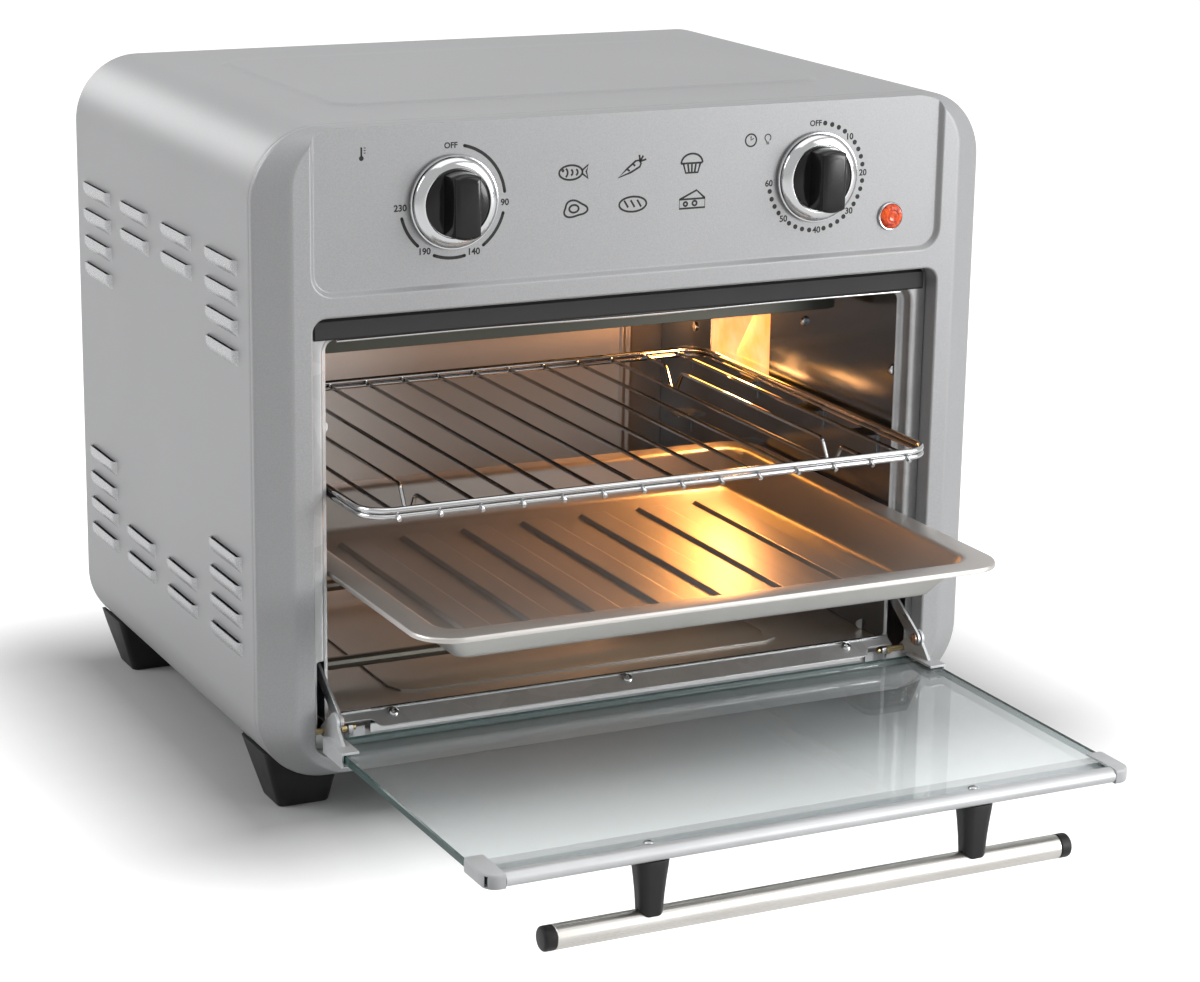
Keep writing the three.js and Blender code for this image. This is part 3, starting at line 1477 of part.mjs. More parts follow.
function bakingTray() {
  const ring = (inset, z) => placeRing(roundedRing(-tray_half_width + inset, tray_half_width - inset,
    tray_front + inset, tray_back - inset, Math.max(tray_corner_radius - inset * tray_corner_share, tray_lip),
    small_corner_steps + 1), 'z', z);
  const top = tray_rim_z;
  const floor = top - tray_height;
  const wall = tray_rim_width + tray_wall_inset;
  const pan = loft([
    ring(wall, floor),
    ring(tray_rim_width + tray_sheet, top - tray_sheet - tray_lip),
    ring(tray_rim_width - tray_lip, top - tray_sheet),
    ring(tray_sheet, top - tray_sheet),
    ring(tray_sheet, top - tray_lip),
    ring(0, top - tray_lip),
    ring(0, top - tray_sheet),
    ring(tray_sheet, top),
    ring(tray_rim_width - tray_lip, top),
    ring(tray_rim_width + tray_sheet * 2, top - tray_lip),
    ring(wall + tray_sheet, floor + tray_sheet),
  ]);
  const inner = wall + tray_rib_slope * 2;
  const pitch = (2 * (tray_half_width - inner)) / tray_rib_count;
  const ribs = [];
  for (let i = 0; i < tray_rib_count; i += 1) {
    const x = -tray_half_width + inner + (i + 0.5) * pitch;
    const ribRing = (grow, z) => placeRing(roundedRing(x - tray_rib_width / 2 - grow,
      x + tray_rib_width / 2 + grow, tray_front + inner - grow, tray_back - inner + grow,
      tray_rib_slope, slot_corner_steps), 'z', z);
    ribs.push(loft([ribRing(0, floor + tray_sheet / 2), ribRing(0, floor + tray_sheet),
      ribRing(-tray_rib_slope / 2, floor + tray_sheet + tray_rib_height)]));
  }
  return join(pan, ...ribs);
}

addPart('baking_tray', bakingTray(), tray_metal);

// Door glass, its free-edge trim and the handle

const glass_corner_radius = 4;
const trim_nose = 2.6;

function doorGlass() {
  return prism(roundedRing(-glass_half_width, glass_half_width, door_front + trim_nose + seat_gap,
    glass_hinge_y, glass_corner_radius, small_corner_steps), 'z', glass_bottom, glass_top);
}

// Round the door's free edge: a lip over the glass, a nose, and a flange under the glass
function trimSection(lip_back, grow) {
  const top = trim_top + grow;
  const bottom = trim_bottom - grow;
  const middle = (glass_top + glass_bottom) / 2;
  return [
    [lip_back, top], [door_front + trim_nose, top], [door_front, top - trim_nose],
    [door_front, bottom + trim_nose], [door_front + trim_nose, bottom], [trim_back + grow, bottom],
    [trim_back + grow, middle], [lip_back, middle],
  ];
}

function doorTrim() {
  const half = trim_half_width - trim_end_length - seat_gap;
  const section = trimSection(door_front + trim_lip, 0);
  const solid = loft([-half, half].map((x) => section.map(([y, z]) => new THREE.Vector3(x, y, z))));
  const groove = block(-half - overrun, half + overrun, door_front + trim_nose, trim_back + overrun,
    glass_bottom - seat_gap, glass_top + seat_gap);
  return cut(solid, groove);
}

const trim_end_grow = 0.2;

function trimEnd(side) {
  const inner = trim_half_width - trim_end_length;
  const section = trimSection(trim_back, trim_end_grow);
  const solid = loft([inner, trim_half_width].map((x) => section.map(([y, z]) => (
    new THREE.Vector3(x, y, z)
  ))));
  const pocket = block(inner - overrun, glass_half_width + seat_gap, door_front + trim_nose,
    trim_back + overrun, glass_bottom - seat_gap, glass_top + seat_gap);
  const right = cut(solid, pocket);
  return side > 0 ? right : mirrored(right);
}

function handlePost(side) {
  const x = side * handle_spread;
  const top = trim_bottom - seat_gap;
  const bottom = handle_z - handle_radius * post_grip_share;
  const ring = (width, depth, z) => placeRing(roundedRing(x - width / 2, x + width / 2,
    handle_y - depth / 2, handle_y + depth / 2, depth / 4, small_corner_steps), 'z', z);
  const post = loft([
    ring(post_bottom_width, post_bottom_depth, bottom),
    ring(post_bottom_width, post_bottom_depth, handle_z + handle_radius),
    ring(post_top_width, post_top_depth, top),
  ]);
  const seat = rod('x', handle_y, handle_z, handle_radius + seat_gap, x - post_top_width,
    x + post_top_width, round_steps / 2);
  const below = block(x - post_top_width, x + post_top_width, handle_y - post_top_depth,
    handle_y + post_top_depth, bottom - overrun, handle_z + handle_radius * post_grip_share);
  return cut(post, seat, below);
}

function handleTube() {
  const half = handle_tube_length / 2;
  const outside = rod('x', handle_y, handle_z, handle_radius, -half, half, round_steps / 2);
  const bore = rod('x', handle_y, handle_z, handle_radius - handle_wall, -half - overrun, half + overrun,
    round_steps / 2);
  return cut(outside, bore);
}

function handleEnd(side) {
  const start = handle_tube_length / 2 + seat_gap;
  const end = start + handle_end_length;
  const ring = (radius, x) => placeRing(circleRing(handle_y, handle_z, radius, round_steps / 2), 'x', x);
  const right = loft([
    ring(handle_radius, start), ring(handle_radius, end - handle_end_length / 4),
    ring(handle_radius - handle_end_length / 4, end),
  ]);
  const plug = rod('x', handle_y, handle_z, handle_radius - handle_wall - seat_gap,
    start - handle_plug_length, start + handle_end_length / 4, round_steps / 2);
  const whole = join(right, plug);
  return side > 0 ? whole : mirrored(whole);
}

addPart('door_glass', doorGlass(), clear_glass);
addPart('door_trim', doorTrim(), trim_metal);
addPart('handle_tube', handleTube(), brushed_steel);
for (const [side, side_name] of [[-1, 'left'], [1, 'right']]) {
  addPart(`trim_end_${side_name}`, trimEnd(side), grey_plastic);
  addPart(`handle_post_${side_name}`, handlePost(side), black_plastic);
  addPart(`handle_end_${side_name}`, handleEnd(side), black_plastic);
}

export default oven;
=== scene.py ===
import json
import math

import bmesh
import bpy
from mathutils import Matrix, Vector


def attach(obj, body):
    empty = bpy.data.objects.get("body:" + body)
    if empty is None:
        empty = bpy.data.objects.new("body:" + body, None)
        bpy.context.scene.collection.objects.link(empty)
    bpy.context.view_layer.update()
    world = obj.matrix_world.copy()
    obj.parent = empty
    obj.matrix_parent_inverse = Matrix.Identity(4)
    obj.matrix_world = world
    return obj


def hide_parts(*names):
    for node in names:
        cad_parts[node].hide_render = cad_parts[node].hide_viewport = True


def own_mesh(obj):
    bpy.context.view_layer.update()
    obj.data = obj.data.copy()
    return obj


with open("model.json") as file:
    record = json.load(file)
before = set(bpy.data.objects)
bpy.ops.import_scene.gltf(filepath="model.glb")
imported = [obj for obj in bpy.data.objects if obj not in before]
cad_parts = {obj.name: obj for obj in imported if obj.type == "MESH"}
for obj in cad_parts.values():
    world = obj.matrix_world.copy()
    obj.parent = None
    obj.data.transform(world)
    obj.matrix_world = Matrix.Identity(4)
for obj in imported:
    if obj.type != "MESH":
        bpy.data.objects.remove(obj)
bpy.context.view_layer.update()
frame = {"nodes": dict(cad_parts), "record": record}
nodes = frame["nodes"]

MM = 0.001
QUARTER_TURN = 0.5 * math.pi
SMOOTH_ANGLE = math.radians(32)
SIDES = ((-1, "left"), (1, "right"))

# Camera

CAMERA_PLACE = (-694.32, -1414.33, 568.67)
CAMERA_AZIMUTH = math.radians(-26.35)
CAMERA_ELEVATION = math.radians(15.32)
CAMERA_ROLL = math.radians(0.93)
CAMERA_LENS = 94.26
CAMERA_SENSOR = 36
CAMERA_NEAREST = 50
CAMERA_FURTHEST = 40000


def aim_camera():
    forward = Vector((
        -math.sin(CAMERA_AZIMUTH) * math.cos(CAMERA_ELEVATION),
        math.cos(CAMERA_AZIMUTH) * math.cos(CAMERA_ELEVATION),
        -math.sin(CAMERA_ELEVATION),
    ))
    right = forward.cross(Vector((0, 0, 1))).normalized()
    up = right.cross(forward)
    across = right * math.cos(CAMERA_ROLL) + up * math.sin(CAMERA_ROLL)
    upward = up * math.cos(CAMERA_ROLL) - right * math.sin(CAMERA_ROLL)
    camera_data = bpy.data.cameras.new("camera")
    camera_data.lens = CAMERA_LENS
    camera_data.sensor_width = CAMERA_SENSOR
    camera_data.clip_start = CAMERA_NEAREST * MM
    camera_data.clip_end = CAMERA_FURTHEST * MM
    camera = bpy.data.objects.new("camera", camera_data)
    turn = Matrix((across, upward, -forward)).transposed().to_4x4()
    camera.matrix_world = Matrix.Translation(Vector(CAMERA_PLACE) * MM) @ turn
    bpy.context.scene.collection.objects.link(camera)
    bpy.context.scene.camera = camera


aim_camera()
bpy.context.scene.view_settings.view_transform = "Standard"

# Nodes

PATTERN_LOW = 0.3
PATTERN_HIGH = 0.7


def set_inputs(tree, node, inputs):
    """Gives a node's inputs their values, or links them to other nodes' sockets."""
    for label, value in inputs.items():
        if isinstance(value, bpy.types.NodeSocket):
            tree.links.new(value, node.inputs[label])
        else:
            node.inputs[label].default_value = value


def add_node(tree, kind, inputs, **settings):
    node = tree.nodes.new(kind)
    for setting, value in settings.items():
        setattr(node, setting, value)
    set_inputs(tree, node, inputs)
    return node


def worked_out(tree, operation, *values):
    inputs = dict(enumerate(values))
    return add_node(tree, "ShaderNodeMath", inputs, operation=operation).outputs[0]


def texture(tree, kind, stretch, **inputs):
    """A texture in the object's own coordinates."""
    coordinates = tree.nodes.new("ShaderNodeTexCoord").outputs["Object"]
    mapping = add_node(tree, "ShaderNodeMapping", {"Scale": stretch, "Vector": coordinates})
    return add_node(tree, kind, {**inputs, "Vector": mapping.outputs["Vector"]})


def noise(tree, scale, detail, roughness=0.5, stretch=(1, 1, 1)):
    pattern = texture(
        tree, "ShaderNodeTexNoise", stretch, Scale=scale, Detail=detail, Roughness=roughness)
    return pattern.outputs["Fac"]


def graded(tree, value, *stops):
    ramp = add_node(tree, "ShaderNodeValToRGB", {"Fac": value})
    points = ramp.color_ramp.elements
    while len(points) < len(stops):
        points.new(0.5)
    for point, (place, colour) in zip(points, stops):
        point.position = place
        point.color = (*colour, 1)
    return ramp.outputs["Color"]


def between(tree, pattern, dark, light):
    return graded(tree, pattern, (PATTERN_LOW, dark), (PATTERN_HIGH, light))


def ranged(tree, pattern, low, high):
    spread = add_node(tree, "ShaderNodeMapRange", {
        "Value": pattern,
        "From Min": PATTERN_LOW,
        "From Max": PATTERN_HIGH,
        "To Min": low,
        "To Max": high,
    })
    return spread.outputs["Result"]


def shaded(tree, tone, pattern, low, high):
    """A colour that a pattern darkens here and there."""
    shade = between(tree, pattern, grey(low), grey(high))
    mix = add_node(tree, "ShaderNodeMix", {"Factor": 1}, data_type="RGBA", blend_type="MULTIPLY")
    tree.links.new(tone, mix.inputs[6])
    tree.links.new(shade, mix.inputs[7])
    return mix.outputs[2]


def raised(tree, pattern, strength, distance):
    bump = add_node(tree, "ShaderNodeBump", {
        "Strength": strength, "Distance": distance * MM, "Height": pattern})
    return bump.outputs["Normal"]


def grey(level):
    return (level, level, level)


# Looks: each makes nodes in a tree and gives the shader's inputs


# A lift above 1 lightens the paint as a painted highlight; at 1 the paint keeps its own tone.
def painted(tree, painted_highlight_lift, rough, specular):
    flake = noise(tree, 2400, 2, 0.6)
    cloud = noise(tree, 9, 3)
    tone = graded(tree, flake, (PATTERN_LOW, (0.355, 0.358, 0.365)),
                  (0.5, (0.395, 0.398, 0.405)), (PATTERN_HIGH, (0.440, 0.443, 0.450)))
    return {
        "Base Color": shaded(tree, tone, cloud, 0.96 * painted_highlight_lift, painted_highlight_lift),
        "Roughness": ranged(tree, flake, *rough),
        "Metallic": 0.2,
        "Specular IOR Level": specular,
        "Normal": raised(tree, flake, 0.1, 0.08),
    }


def spangled_steel(tree, dark, light, rough):
    cells = texture(tree, "ShaderNodeTexVoronoi", (1, 1, 1), Scale=90, Randomness=1)
    bleed = noise(tree, 225, 4, 0.65)
    grain = noise(tree, 1600, 2)
    parts = add_node(tree, "ShaderNodeSeparateColor", {"Color": cells.outputs["Color"]})
    tone = graded(tree, parts.outputs["Red"], (0, dark), (1, light))
    return {
        "Base Color": shaded(tree, tone, bleed, 0.94, 1),
        "Roughness": ranged(tree, grain, *rough),
        "Metallic": 0.6,
        "Normal": raised(tree, grain, 0.06, 0.05),
    }


def streaked_steel(tree, dark, light, rough, metallic, stretch):
    streak = noise(tree, 420, 3, 0.6, stretch)
    stain = noise(tree, 14, 4, 0.6)
    tone = graded(tree, stain, (0.32, dark), (0.68, light))
    return {
        "Base Color": shaded(tree, tone, streak, 0.92, 1),
        "Roughness": ranged(tree, streak, *rough),
        "Metallic": metallic,
        "Normal": raised(tree, streak, 0.1, 0.06),
    }


def satin_steel(tree, dark, light, rough, metallic):
    grain = noise(tree, 1700, 2)
    tone = between(tree, noise(tree, 7, 2, 0.45), dark, light)
    return {
        "Base Color": shaded(tree, tone, grain, 0.96, 1),
        "Roughness": ranged(tree, grain, *rough),
        "Metallic": metallic,
        "Normal": raised(tree, grain, 0.04, 0.04),
    }


def grained_plastic(tree, dark, light, rough, grain_scale, strength):
    grain = noise(tree, grain_scale, 3, 0.6)
    wear = noise(tree, 40, 3)
    return {
        "Base Color": graded(tree, wear, (0.35, dark), (0.68, light)),
        "Roughness": ranged(tree, wear, *rough),
        "Specular IOR Level": 0.3,
        "Normal": raised(tree, grain, strength, 0.1),
    }


def clear_pane(tree, tint, cover):
    smear = noise(tree, 16, 4, 0.55)
    return {
        "Base Color": between(tree, smear, [0.985 * part for part in tint], tint),
        "Roughness": ranged(tree, smear, 0, 0.02),
        "Transmission Weight": 1,
        "IOR": 1.5,
        "Alpha": cover,
    }


def ground_edge(tree, dark, light):
    ground = noise(tree, 500, 3)
    return {
        "Base Color": between(tree, ground, dark, light),
        "Roughness": ranged(tree, ground, 0.12, 0.26),
        "Coat Weight": 0.2,
        "Coat Roughness": 0.05,
    }


def glowing(tree, dark, light, strength, scale):
    tone = between(tree, noise(tree, scale, 2), dark, light)
    return {
        "Base Color": tone,
        "Emission Color": tone,
        "Emission Strength": strength,
        "Roughness": 0.2,
    }


LOOKS = {
    "silver_paint": (painted, 1, (0.36, 0.44), 0.3),
    # The louvre hoods: the cover's silver paint lightened 1.35 times, a painted highlight for the
    # floor light the hoods catch.
    "louvre_paint_painted_highlight": (painted, 1.35, (0.24, 0.30), 0.6),
    "galvanised_steel": (
        spangled_steel, (0.40, 0.402, 0.405), (0.47, 0.472, 0.475), (0.34, 0.42)),
    "tray_metal": (satin_steel, (0.50, 0.475, 0.450), (0.56, 0.535, 0.510), (0.34, 0.42), 0.80),
    "liner_steel": (satin_steel, (0.37, 0.362, 0.350), (0.43, 0.422, 0.410), (0.30, 0.36), 0.86),
    "dark_steel": (satin_steel, (0.050, 0.050, 0.040), (0.070, 0.070, 0.056), (0.36, 0.46), 0.6),
    "element_steel": (satin_steel, (0.15, 0.145, 0.125), (0.20, 0.19, 0.165), (0.3, 0.4), 0.8),
    # Painted light and shade in the cavity: the side walls' steel is the liner steel made darker
    # and bluer, the floor's made lighter and less mirror-like.
    "wall_steel_painted_shade": (satin_steel, (0.24, 0.27, 0.30), (0.30, 0.335, 0.37), (0.15, 0.21), 0.92),
    "floor_steel_painted_light": (satin_steel, (0.40, 0.385, 0.365), (0.46, 0.445, 0.425), (0.30, 0.36), 0.55),
    "chrome": (satin_steel, (0.50, 0.505, 0.51), (0.56, 0.565, 0.57), (0.07, 0.13), 1),
    "handle_steel": (
        streaked_steel, (0.58, 0.56, 0.53), (0.66, 0.64, 0.61), (0.2, 0.42), 1, (0.02, 1, 1)),
    "zinc": (
        streaked_steel, (0.42, 0.43, 0.44), (0.55, 0.56, 0.57), (0.25, 0.4), 0.9, (1, 0.2, 1)),
    "brass": (
        streaked_steel, (0.40, 0.31, 0.15), (0.50, 0.40, 0.22), (0.25, 0.38), 0.95, (0.2, 1, 1)),
    "trim_metal": (
        streaked_steel, (0.58, 0.59, 0.60), (0.64, 0.65, 0.66), (0.40, 0.5), 0.4, (0.05, 1, 1)),
    "copper": (
        streaked_steel, (0.62, 0.33, 0.20), (0.74, 0.44, 0.28), (0.2, 0.34), 1, (1, 1, 1)),
    "black_plastic": (grained_plastic, grey(0.010), grey(0.018), (0.42, 0.55), 1900, 0.25),
    "gloss_black": (grained_plastic, grey(0.006), grey(0.010), (0.10, 0.18), 700, 0.02),
    "rubber": (grained_plastic, grey(0.028), grey(0.038), (0.55, 0.7), 1200, 0.2),
    "grey_plastic": (
        grained_plastic, (0.50, 0.51, 0.52), (0.56, 0.57, 0.58), (0.3, 0.42), 900, 0.08),
    "ceramic": (
        grained_plastic, (0.72, 0.68, 0.58), (0.80, 0.76, 0.66), (0.5, 0.62), 700, 0.2),
    "print_ink": (grained_plastic, grey(0.012), grey(0.02), (0.45, 0.6), 800, 0.05),
    "door_glass": (clear_pane, (0.78, 0.90, 0.915), 0.42),
    "glass_edge": (ground_edge, (0.010, 0.045, 0.040), (0.020, 0.080, 0.070)),
    "lamp_glass": (glowing, (1.0, 0.32, 0.07), (1.0, 0.42, 0.20), 1.45, 60),
    "lamp_red": (glowing, (0.22, 0.004, 0.002), (0.85, 0.10, 0.008), 0.42, 330),
}


def material_of(name, look, *values):
    material = bpy.data.materials.new(name)
    material.use_nodes = True
    tree = material.node_tree
    set_inputs(tree, tree.nodes["Principled BSDF"], look(tree, *values))
    return material


MATERIALS = {name: material_of(name, *look) for name, look in LOOKS.items()}

# Outlines, as pairs of numbers, and the meshes made of them

ORIGIN_Y = 53.5
WELD_DISTANCE = 0.0005
SMALLEST_RADIUS = 0.001


def spot(x, y, z):
    return Vector((x, y - ORIGIN_Y, z)) * MM


def arc(u, v, radius, start, end, steps):
    """Points of an arc round (u, v) between two angles, given in quarter turns."""
    angles = [QUARTER_TURN * (start + (end - start) * step / steps) for step in range(steps + 1)]
    return [(u + radius * math.cos(angle), v + radius * math.sin(angle)) for angle in angles]


def box_outline(u0, u1, v0, v1):
    return [(u0, v0), (u1, v0), (u1, v1), (u0, v1)]


def rounded_outline(box, radius, steps, grow=0):
    u0, u1, v0, v1 = box
    corners = (
        (u1 + grow - radius, v0 - grow + radius),
        (u1 + grow - radius, v1 + grow - radius),
        (u0 - grow + radius, v1 + grow - radius),
        (u0 - grow + radius, v0 - grow + radius),
    )
    outline = []
    for turn, (u, v) in enumerate(corners):
        outline += arc(u, v, radius, turn - 1, turn, steps)
    return outline


def circle_outline(u, v, radius, steps):
    return arc(u, v, radius, 0, 4, steps)[:-1]


def along_axis(outline, axis, height):
    if axis == "x":
        return [spot(height, u, v) for u, v in outline]
    if axis == "y":
        return [spot(u, height, v) for u, v in outline]
    return [spot(u, v, height) for u, v in outline]


def local_ring(outline, height):
    return [Vector((u, v, height)) * MM for u, v in outline]


def mirrored(outline, side):
    return [(side * u, v) for u, v in outline]


def eased(share):
    return share * share * (3 - 2 * share)


def ring_faces(ring_count, size, closed_rings=True, closed_path=False):
    faces = []
    last = ring_count if closed_path else ring_count - 1
    width = size if closed_rings else size - 1
    for ring in range(last):
        here = ring * size
        following = ((ring + 1) % ring_count) * size
        for step in range(width):
            after = (step + 1) % size
            faces.append((here + step, here + after, following + after, following + step))
    return faces


def grid_mesh(points, rows, columns):
    """An open sheet of points, row after row."""
    mesh = bpy.data.meshes.new("sheet")
    mesh.from_pydata(points, [], ring_faces(rows, columns, False))
    return mesh


def loft_mesh(rings, closed=False):
    """A solid through rings of points; a closed one runs back to its first ring."""
    size = len(rings[0])
    points = [point for ring in rings for point in ring]
    faces = ring_faces(len(rings), size, True, closed)
    if not closed:
        faces.append(tuple(range(size - 1, -1, -1)))
        faces.append(tuple(range(len(points) - size, len(points))))
    mesh = bpy.data.meshes.new("solid")
    mesh.from_pydata(points, [], faces)
    turn_faces_out(mesh)
    return mesh


def prism_mesh(outline, axis, *levels):
    return loft_mesh([along_axis(outline, axis, level) for level in levels])


def turn_faces_out(mesh):
    work = bmesh.new()
    work.from_mesh(mesh)
    bmesh.ops.remove_doubles(work, verts=work.verts, dist=WELD_DISTANCE * MM)
    bmesh.ops.recalc_face_normals(work, faces=work.faces)
    work.to_mesh(mesh)
    work.free()


def joined_mesh(meshes):
    work = bmesh.new()
    for mesh in meshes:
        work.from_mesh(mesh)
        bpy.data.meshes.remove(mesh)
    whole = bpy.data.meshes.new("whole")
    work.to_mesh(whole)
    work.free()
    return whole


def tube_mesh(path, radius, sides, closed=False):
    rings = []
    count = len(path)
    normal = None
    for index, point in enumerate(path):
        before = path[(index - 1) % count] if closed else path[max(index - 1, 0)]
        after = path[(index + 1) % count] if closed else path[min(index + 1, count - 1)]
        tangent = (after - before).normalized()
        if normal is None:
            normal = tangent.orthogonal().normalized()
        normal = (normal - tangent * normal.dot(tangent)).normalized()
        across = tangent.cross(normal)
        rings.append([point + normal * u * MM + across * v * MM
                      for u, v in circle_outline(0, 0, radius, sides)])
    return loft_mesh(rings, closed)


def turned_mesh(profile, steps, place, closed=False):
    """A turned piece round an axis along Y; the profile pairs radius and way to the front."""
    x, y, z = place
    return loft_mesh([
        along_axis(circle_outline(x, z, max(radius, SMALLEST_RADIUS), steps), "y", y - out)
        for radius, out in profile], closed)


def bent_path(corners, radius, steps):
    path = [corners[0]]
    for before, corner, after in zip(corners, corners[1:], corners[2:]):
        back = corner + (before - corner).normalized() * radius * MM
        on = corner + (after - corner).normalized() * radius * MM
        for step in range(steps + 1):
            share = step / steps
            path.append(back * (1 - share) ** 2 + corner * 2 * share * (1 - share)
                        + on * share ** 2)
    path.append(corners[-1])
    return path


# Objects

CAD_WELD = 0.002
CAD_BEVEL = 0.25
BEVEL_SEGMENTS = 2
BLOCK_ANGLE = math.radians(40)


def object_of(name, mesh, material=None):
    thing = bpy.data.objects.new(name, mesh)
    if material is not None:
        mesh.materials.clear()
        mesh.materials.append(material)
    bpy.context.scene.collection.objects.link(thing)
    return thing


def settle(thing):
    """Makes the object's modifiers part of its mesh."""
    graph = bpy.context.evaluated_depsgraph_get()
    mesh = bpy.data.meshes.new_from_object(thing.evaluated_get(graph))
    thing.modifiers.clear()
    thing.data = mesh


def carved_mesh(mesh, *cutters):
    """The mesh less the solids that the cutters enclose."""
    thing = object_of("solid", mesh)
    for cutter_mesh in cutters:
        cutter = object_of("cutter", cutter_mesh)
        cutting = thing.modifiers.new("cut", "BOOLEAN")
        cutting.operation = "DIFFERENCE"
        cutting.solver = "EXACT"
        cutting.object = cutter
        settle(thing)
        bpy.data.objects.remove(cutter)
    carved = thing.data
    bpy.data.objects.remove(thing)
    return carved


def shade_by_angle(mesh, angle=SMOOTH_ANGLE):
    mesh.shade_smooth()
    mesh.set_sharp_from_angle(angle=angle)


def fit_piece(thing, body, slot_name, *stands_for):
    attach(thing, body)
    if stands_for:
        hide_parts(*stands_for)
    return thing


def piece(name, mesh, slot_name, body, *stands_for, angle=SMOOTH_ANGLE):
    shade_by_angle(mesh, angle)
    thing = object_of(name, mesh, MATERIALS[slot_name])
    return fit_piece(thing, body, slot_name, *stands_for)


def round_edges(thing, width, angle=SMOOTH_ANGLE):
    bevel = thing.modifiers.new("bevel", "BEVEL")
    bevel.width = width * MM
    bevel.segments = BEVEL_SEGMENTS
    bevel.limit_method = "ANGLE"
    bevel.angle_limit = angle
    bevel.use_clamp_overlap = True
    bevel.harden_normals = True


def geometry_tree(name, **sockets):
    """A tree that takes a geometry and the named sockets, and its input node's outputs."""
    tree = bpy.data.node_groups.new(name, "GeometryNodeTree")
    for label, kind in {"Geometry": "Geometry", **sockets}.items():
        tree.interface.new_socket(label, in_out="INPUT", socket_type=f"NodeSocket{kind}")
    tree.interface.new_socket("Geometry", in_out="OUTPUT", socket_type="NodeSocketGeometry")
    return tree, tree.nodes.new("NodeGroupInput").outputs


def repeat_tree():
    """Sets one shape on marked places, as a plain mesh in its finish."""
    tree, given = geometry_tree("repeat_on_places", Shape="Object", Size="Float", Finish="Material")
    shape = add_node(tree, "GeometryNodeObjectInfo", {"Object": given["Shape"]})
    turn = add_node(
        tree, "GeometryNodeInputNamedAttribute", {"Name": "turn"}, data_type="FLOAT_VECTOR")
    placed = add_node(tree, "GeometryNodeInstanceOnPoints", {
        "Points": given["Geometry"],
        "Instance": shape.outputs["Geometry"],
        "Rotation": turn.outputs["Attribute"],
        "Scale": given["Size"],
    })
    real = add_node(tree, "GeometryNodeRealizeInstances", {"Geometry": placed.outputs[0]})
    finish = add_node(tree, "GeometryNodeSetMaterial", {
        "Geometry": real.outputs[0], "Material": given["Finish"]})
    add_node(tree, "NodeGroupOutput", {"Geometry": finish.outputs[0]})
    return tree


def smooth_faces_tree():
    """Shades the faces smooth, but for edges sharper than the smooth angle."""
    tree, given = geometry_tree("smooth_faces")
    angle = tree.nodes.new("GeometryNodeInputMeshEdgeAngle").outputs["Unsigned Angle"]
    smooth = add_node(
        tree, "FunctionNodeCompare", {"A": angle, "B": SMOOTH_ANGLE}, operation="LESS_EQUAL")
    faces = add_node(
        tree, "GeometryNodeSetShadeSmooth", {"Geometry": given["Geometry"]}, domain="FACE")
    edges = add_node(tree, "GeometryNodeSetShadeSmooth", {
        "Geometry": faces.outputs[0], "Shade Smooth": smooth.outputs["Result"]}, domain="EDGE")
    add_node(tree, "NodeGroupOutput", {"Geometry": edges.outputs[0]})
    return tree


REPEAT_TREE = repeat_tree()
SMOOTH_FACES = smooth_faces_tree()


def repeated(name, shape_mesh, places, slot_name, body, size=1.0, look=None):
    """places are pairs of a point and a turn, three angles in radians."""
    shade_by_angle(shape_mesh)
    shape = object_of("shape", shape_mesh)
    marks = bpy.data.meshes.new(name)
    marks.from_pydata([place for place, turn in places], [], [])
    turns = marks.attributes.new("turn", "FLOAT_VECTOR", "POINT")
    turns.data.foreach_set("vector", [angle for place, turn in places for angle in turn])
    thing = object_of(name, marks)
    layout = thing.modifiers.new("repeat", "NODES")
    layout.node_group = REPEAT_TREE
    inputs = {item.name: item.identifier for item in REPEAT_TREE.interface.items_tree
              if item.in_out == "INPUT"}
    layout[inputs["Shape"]] = shape
    layout[inputs["Size"]] = size
    layout[inputs["Finish"]] = MATERIALS[look or slot_name]
    settle(thing)
    bpy.data.objects.remove(shape)
    fit_piece(thing, body, slot_name)


# The imported solids that stay: their own finish, welded, with softened edges. The cavity floor
# gets a lighter copy of the liner steel as painted light, and the side walls a darker, bluer copy
# as painted shade

NODE_LOOKS_WITH_PAINTED_LIGHT = {
    "upper_element": "element_steel",
    "lower_element_front": "element_steel",
    "lower_element_back": "element_steel",
    # Painted light and shade: the cavity floor gets the lighter copy of the liner steel, the side
    # walls the darker, bluer one.
    "cavity_floor": "floor_steel_painted_light",
    "cavity_left_wall": "wall_steel_painted_shade",
    "cavity_right_wall": "wall_steel_painted_shade",
}


def dress_packed_nodes():
    slots = {part["node"]: part["material_slot"] for part in frame["record"]["subparts"]}
    for name, thing in nodes.items():
        thing.data.materials.clear()
        thing.data.materials.append(MATERIALS[NODE_LOOKS_WITH_PAINTED_LIGHT.get(name, slots[name])])
        weld = thing.modifiers.new("weld", "WELD")
        weld.merge_threshold = CAD_WELD * MM
        smooth = thing.modifiers.new("smooth", "NODES")
        smooth.node_group = SMOOTH_FACES
        round_edges(thing, CAD_BEVEL)


dress_packed_nodes()

# Outer cover: one pressed sheet with a bead, a raised top field and louvres

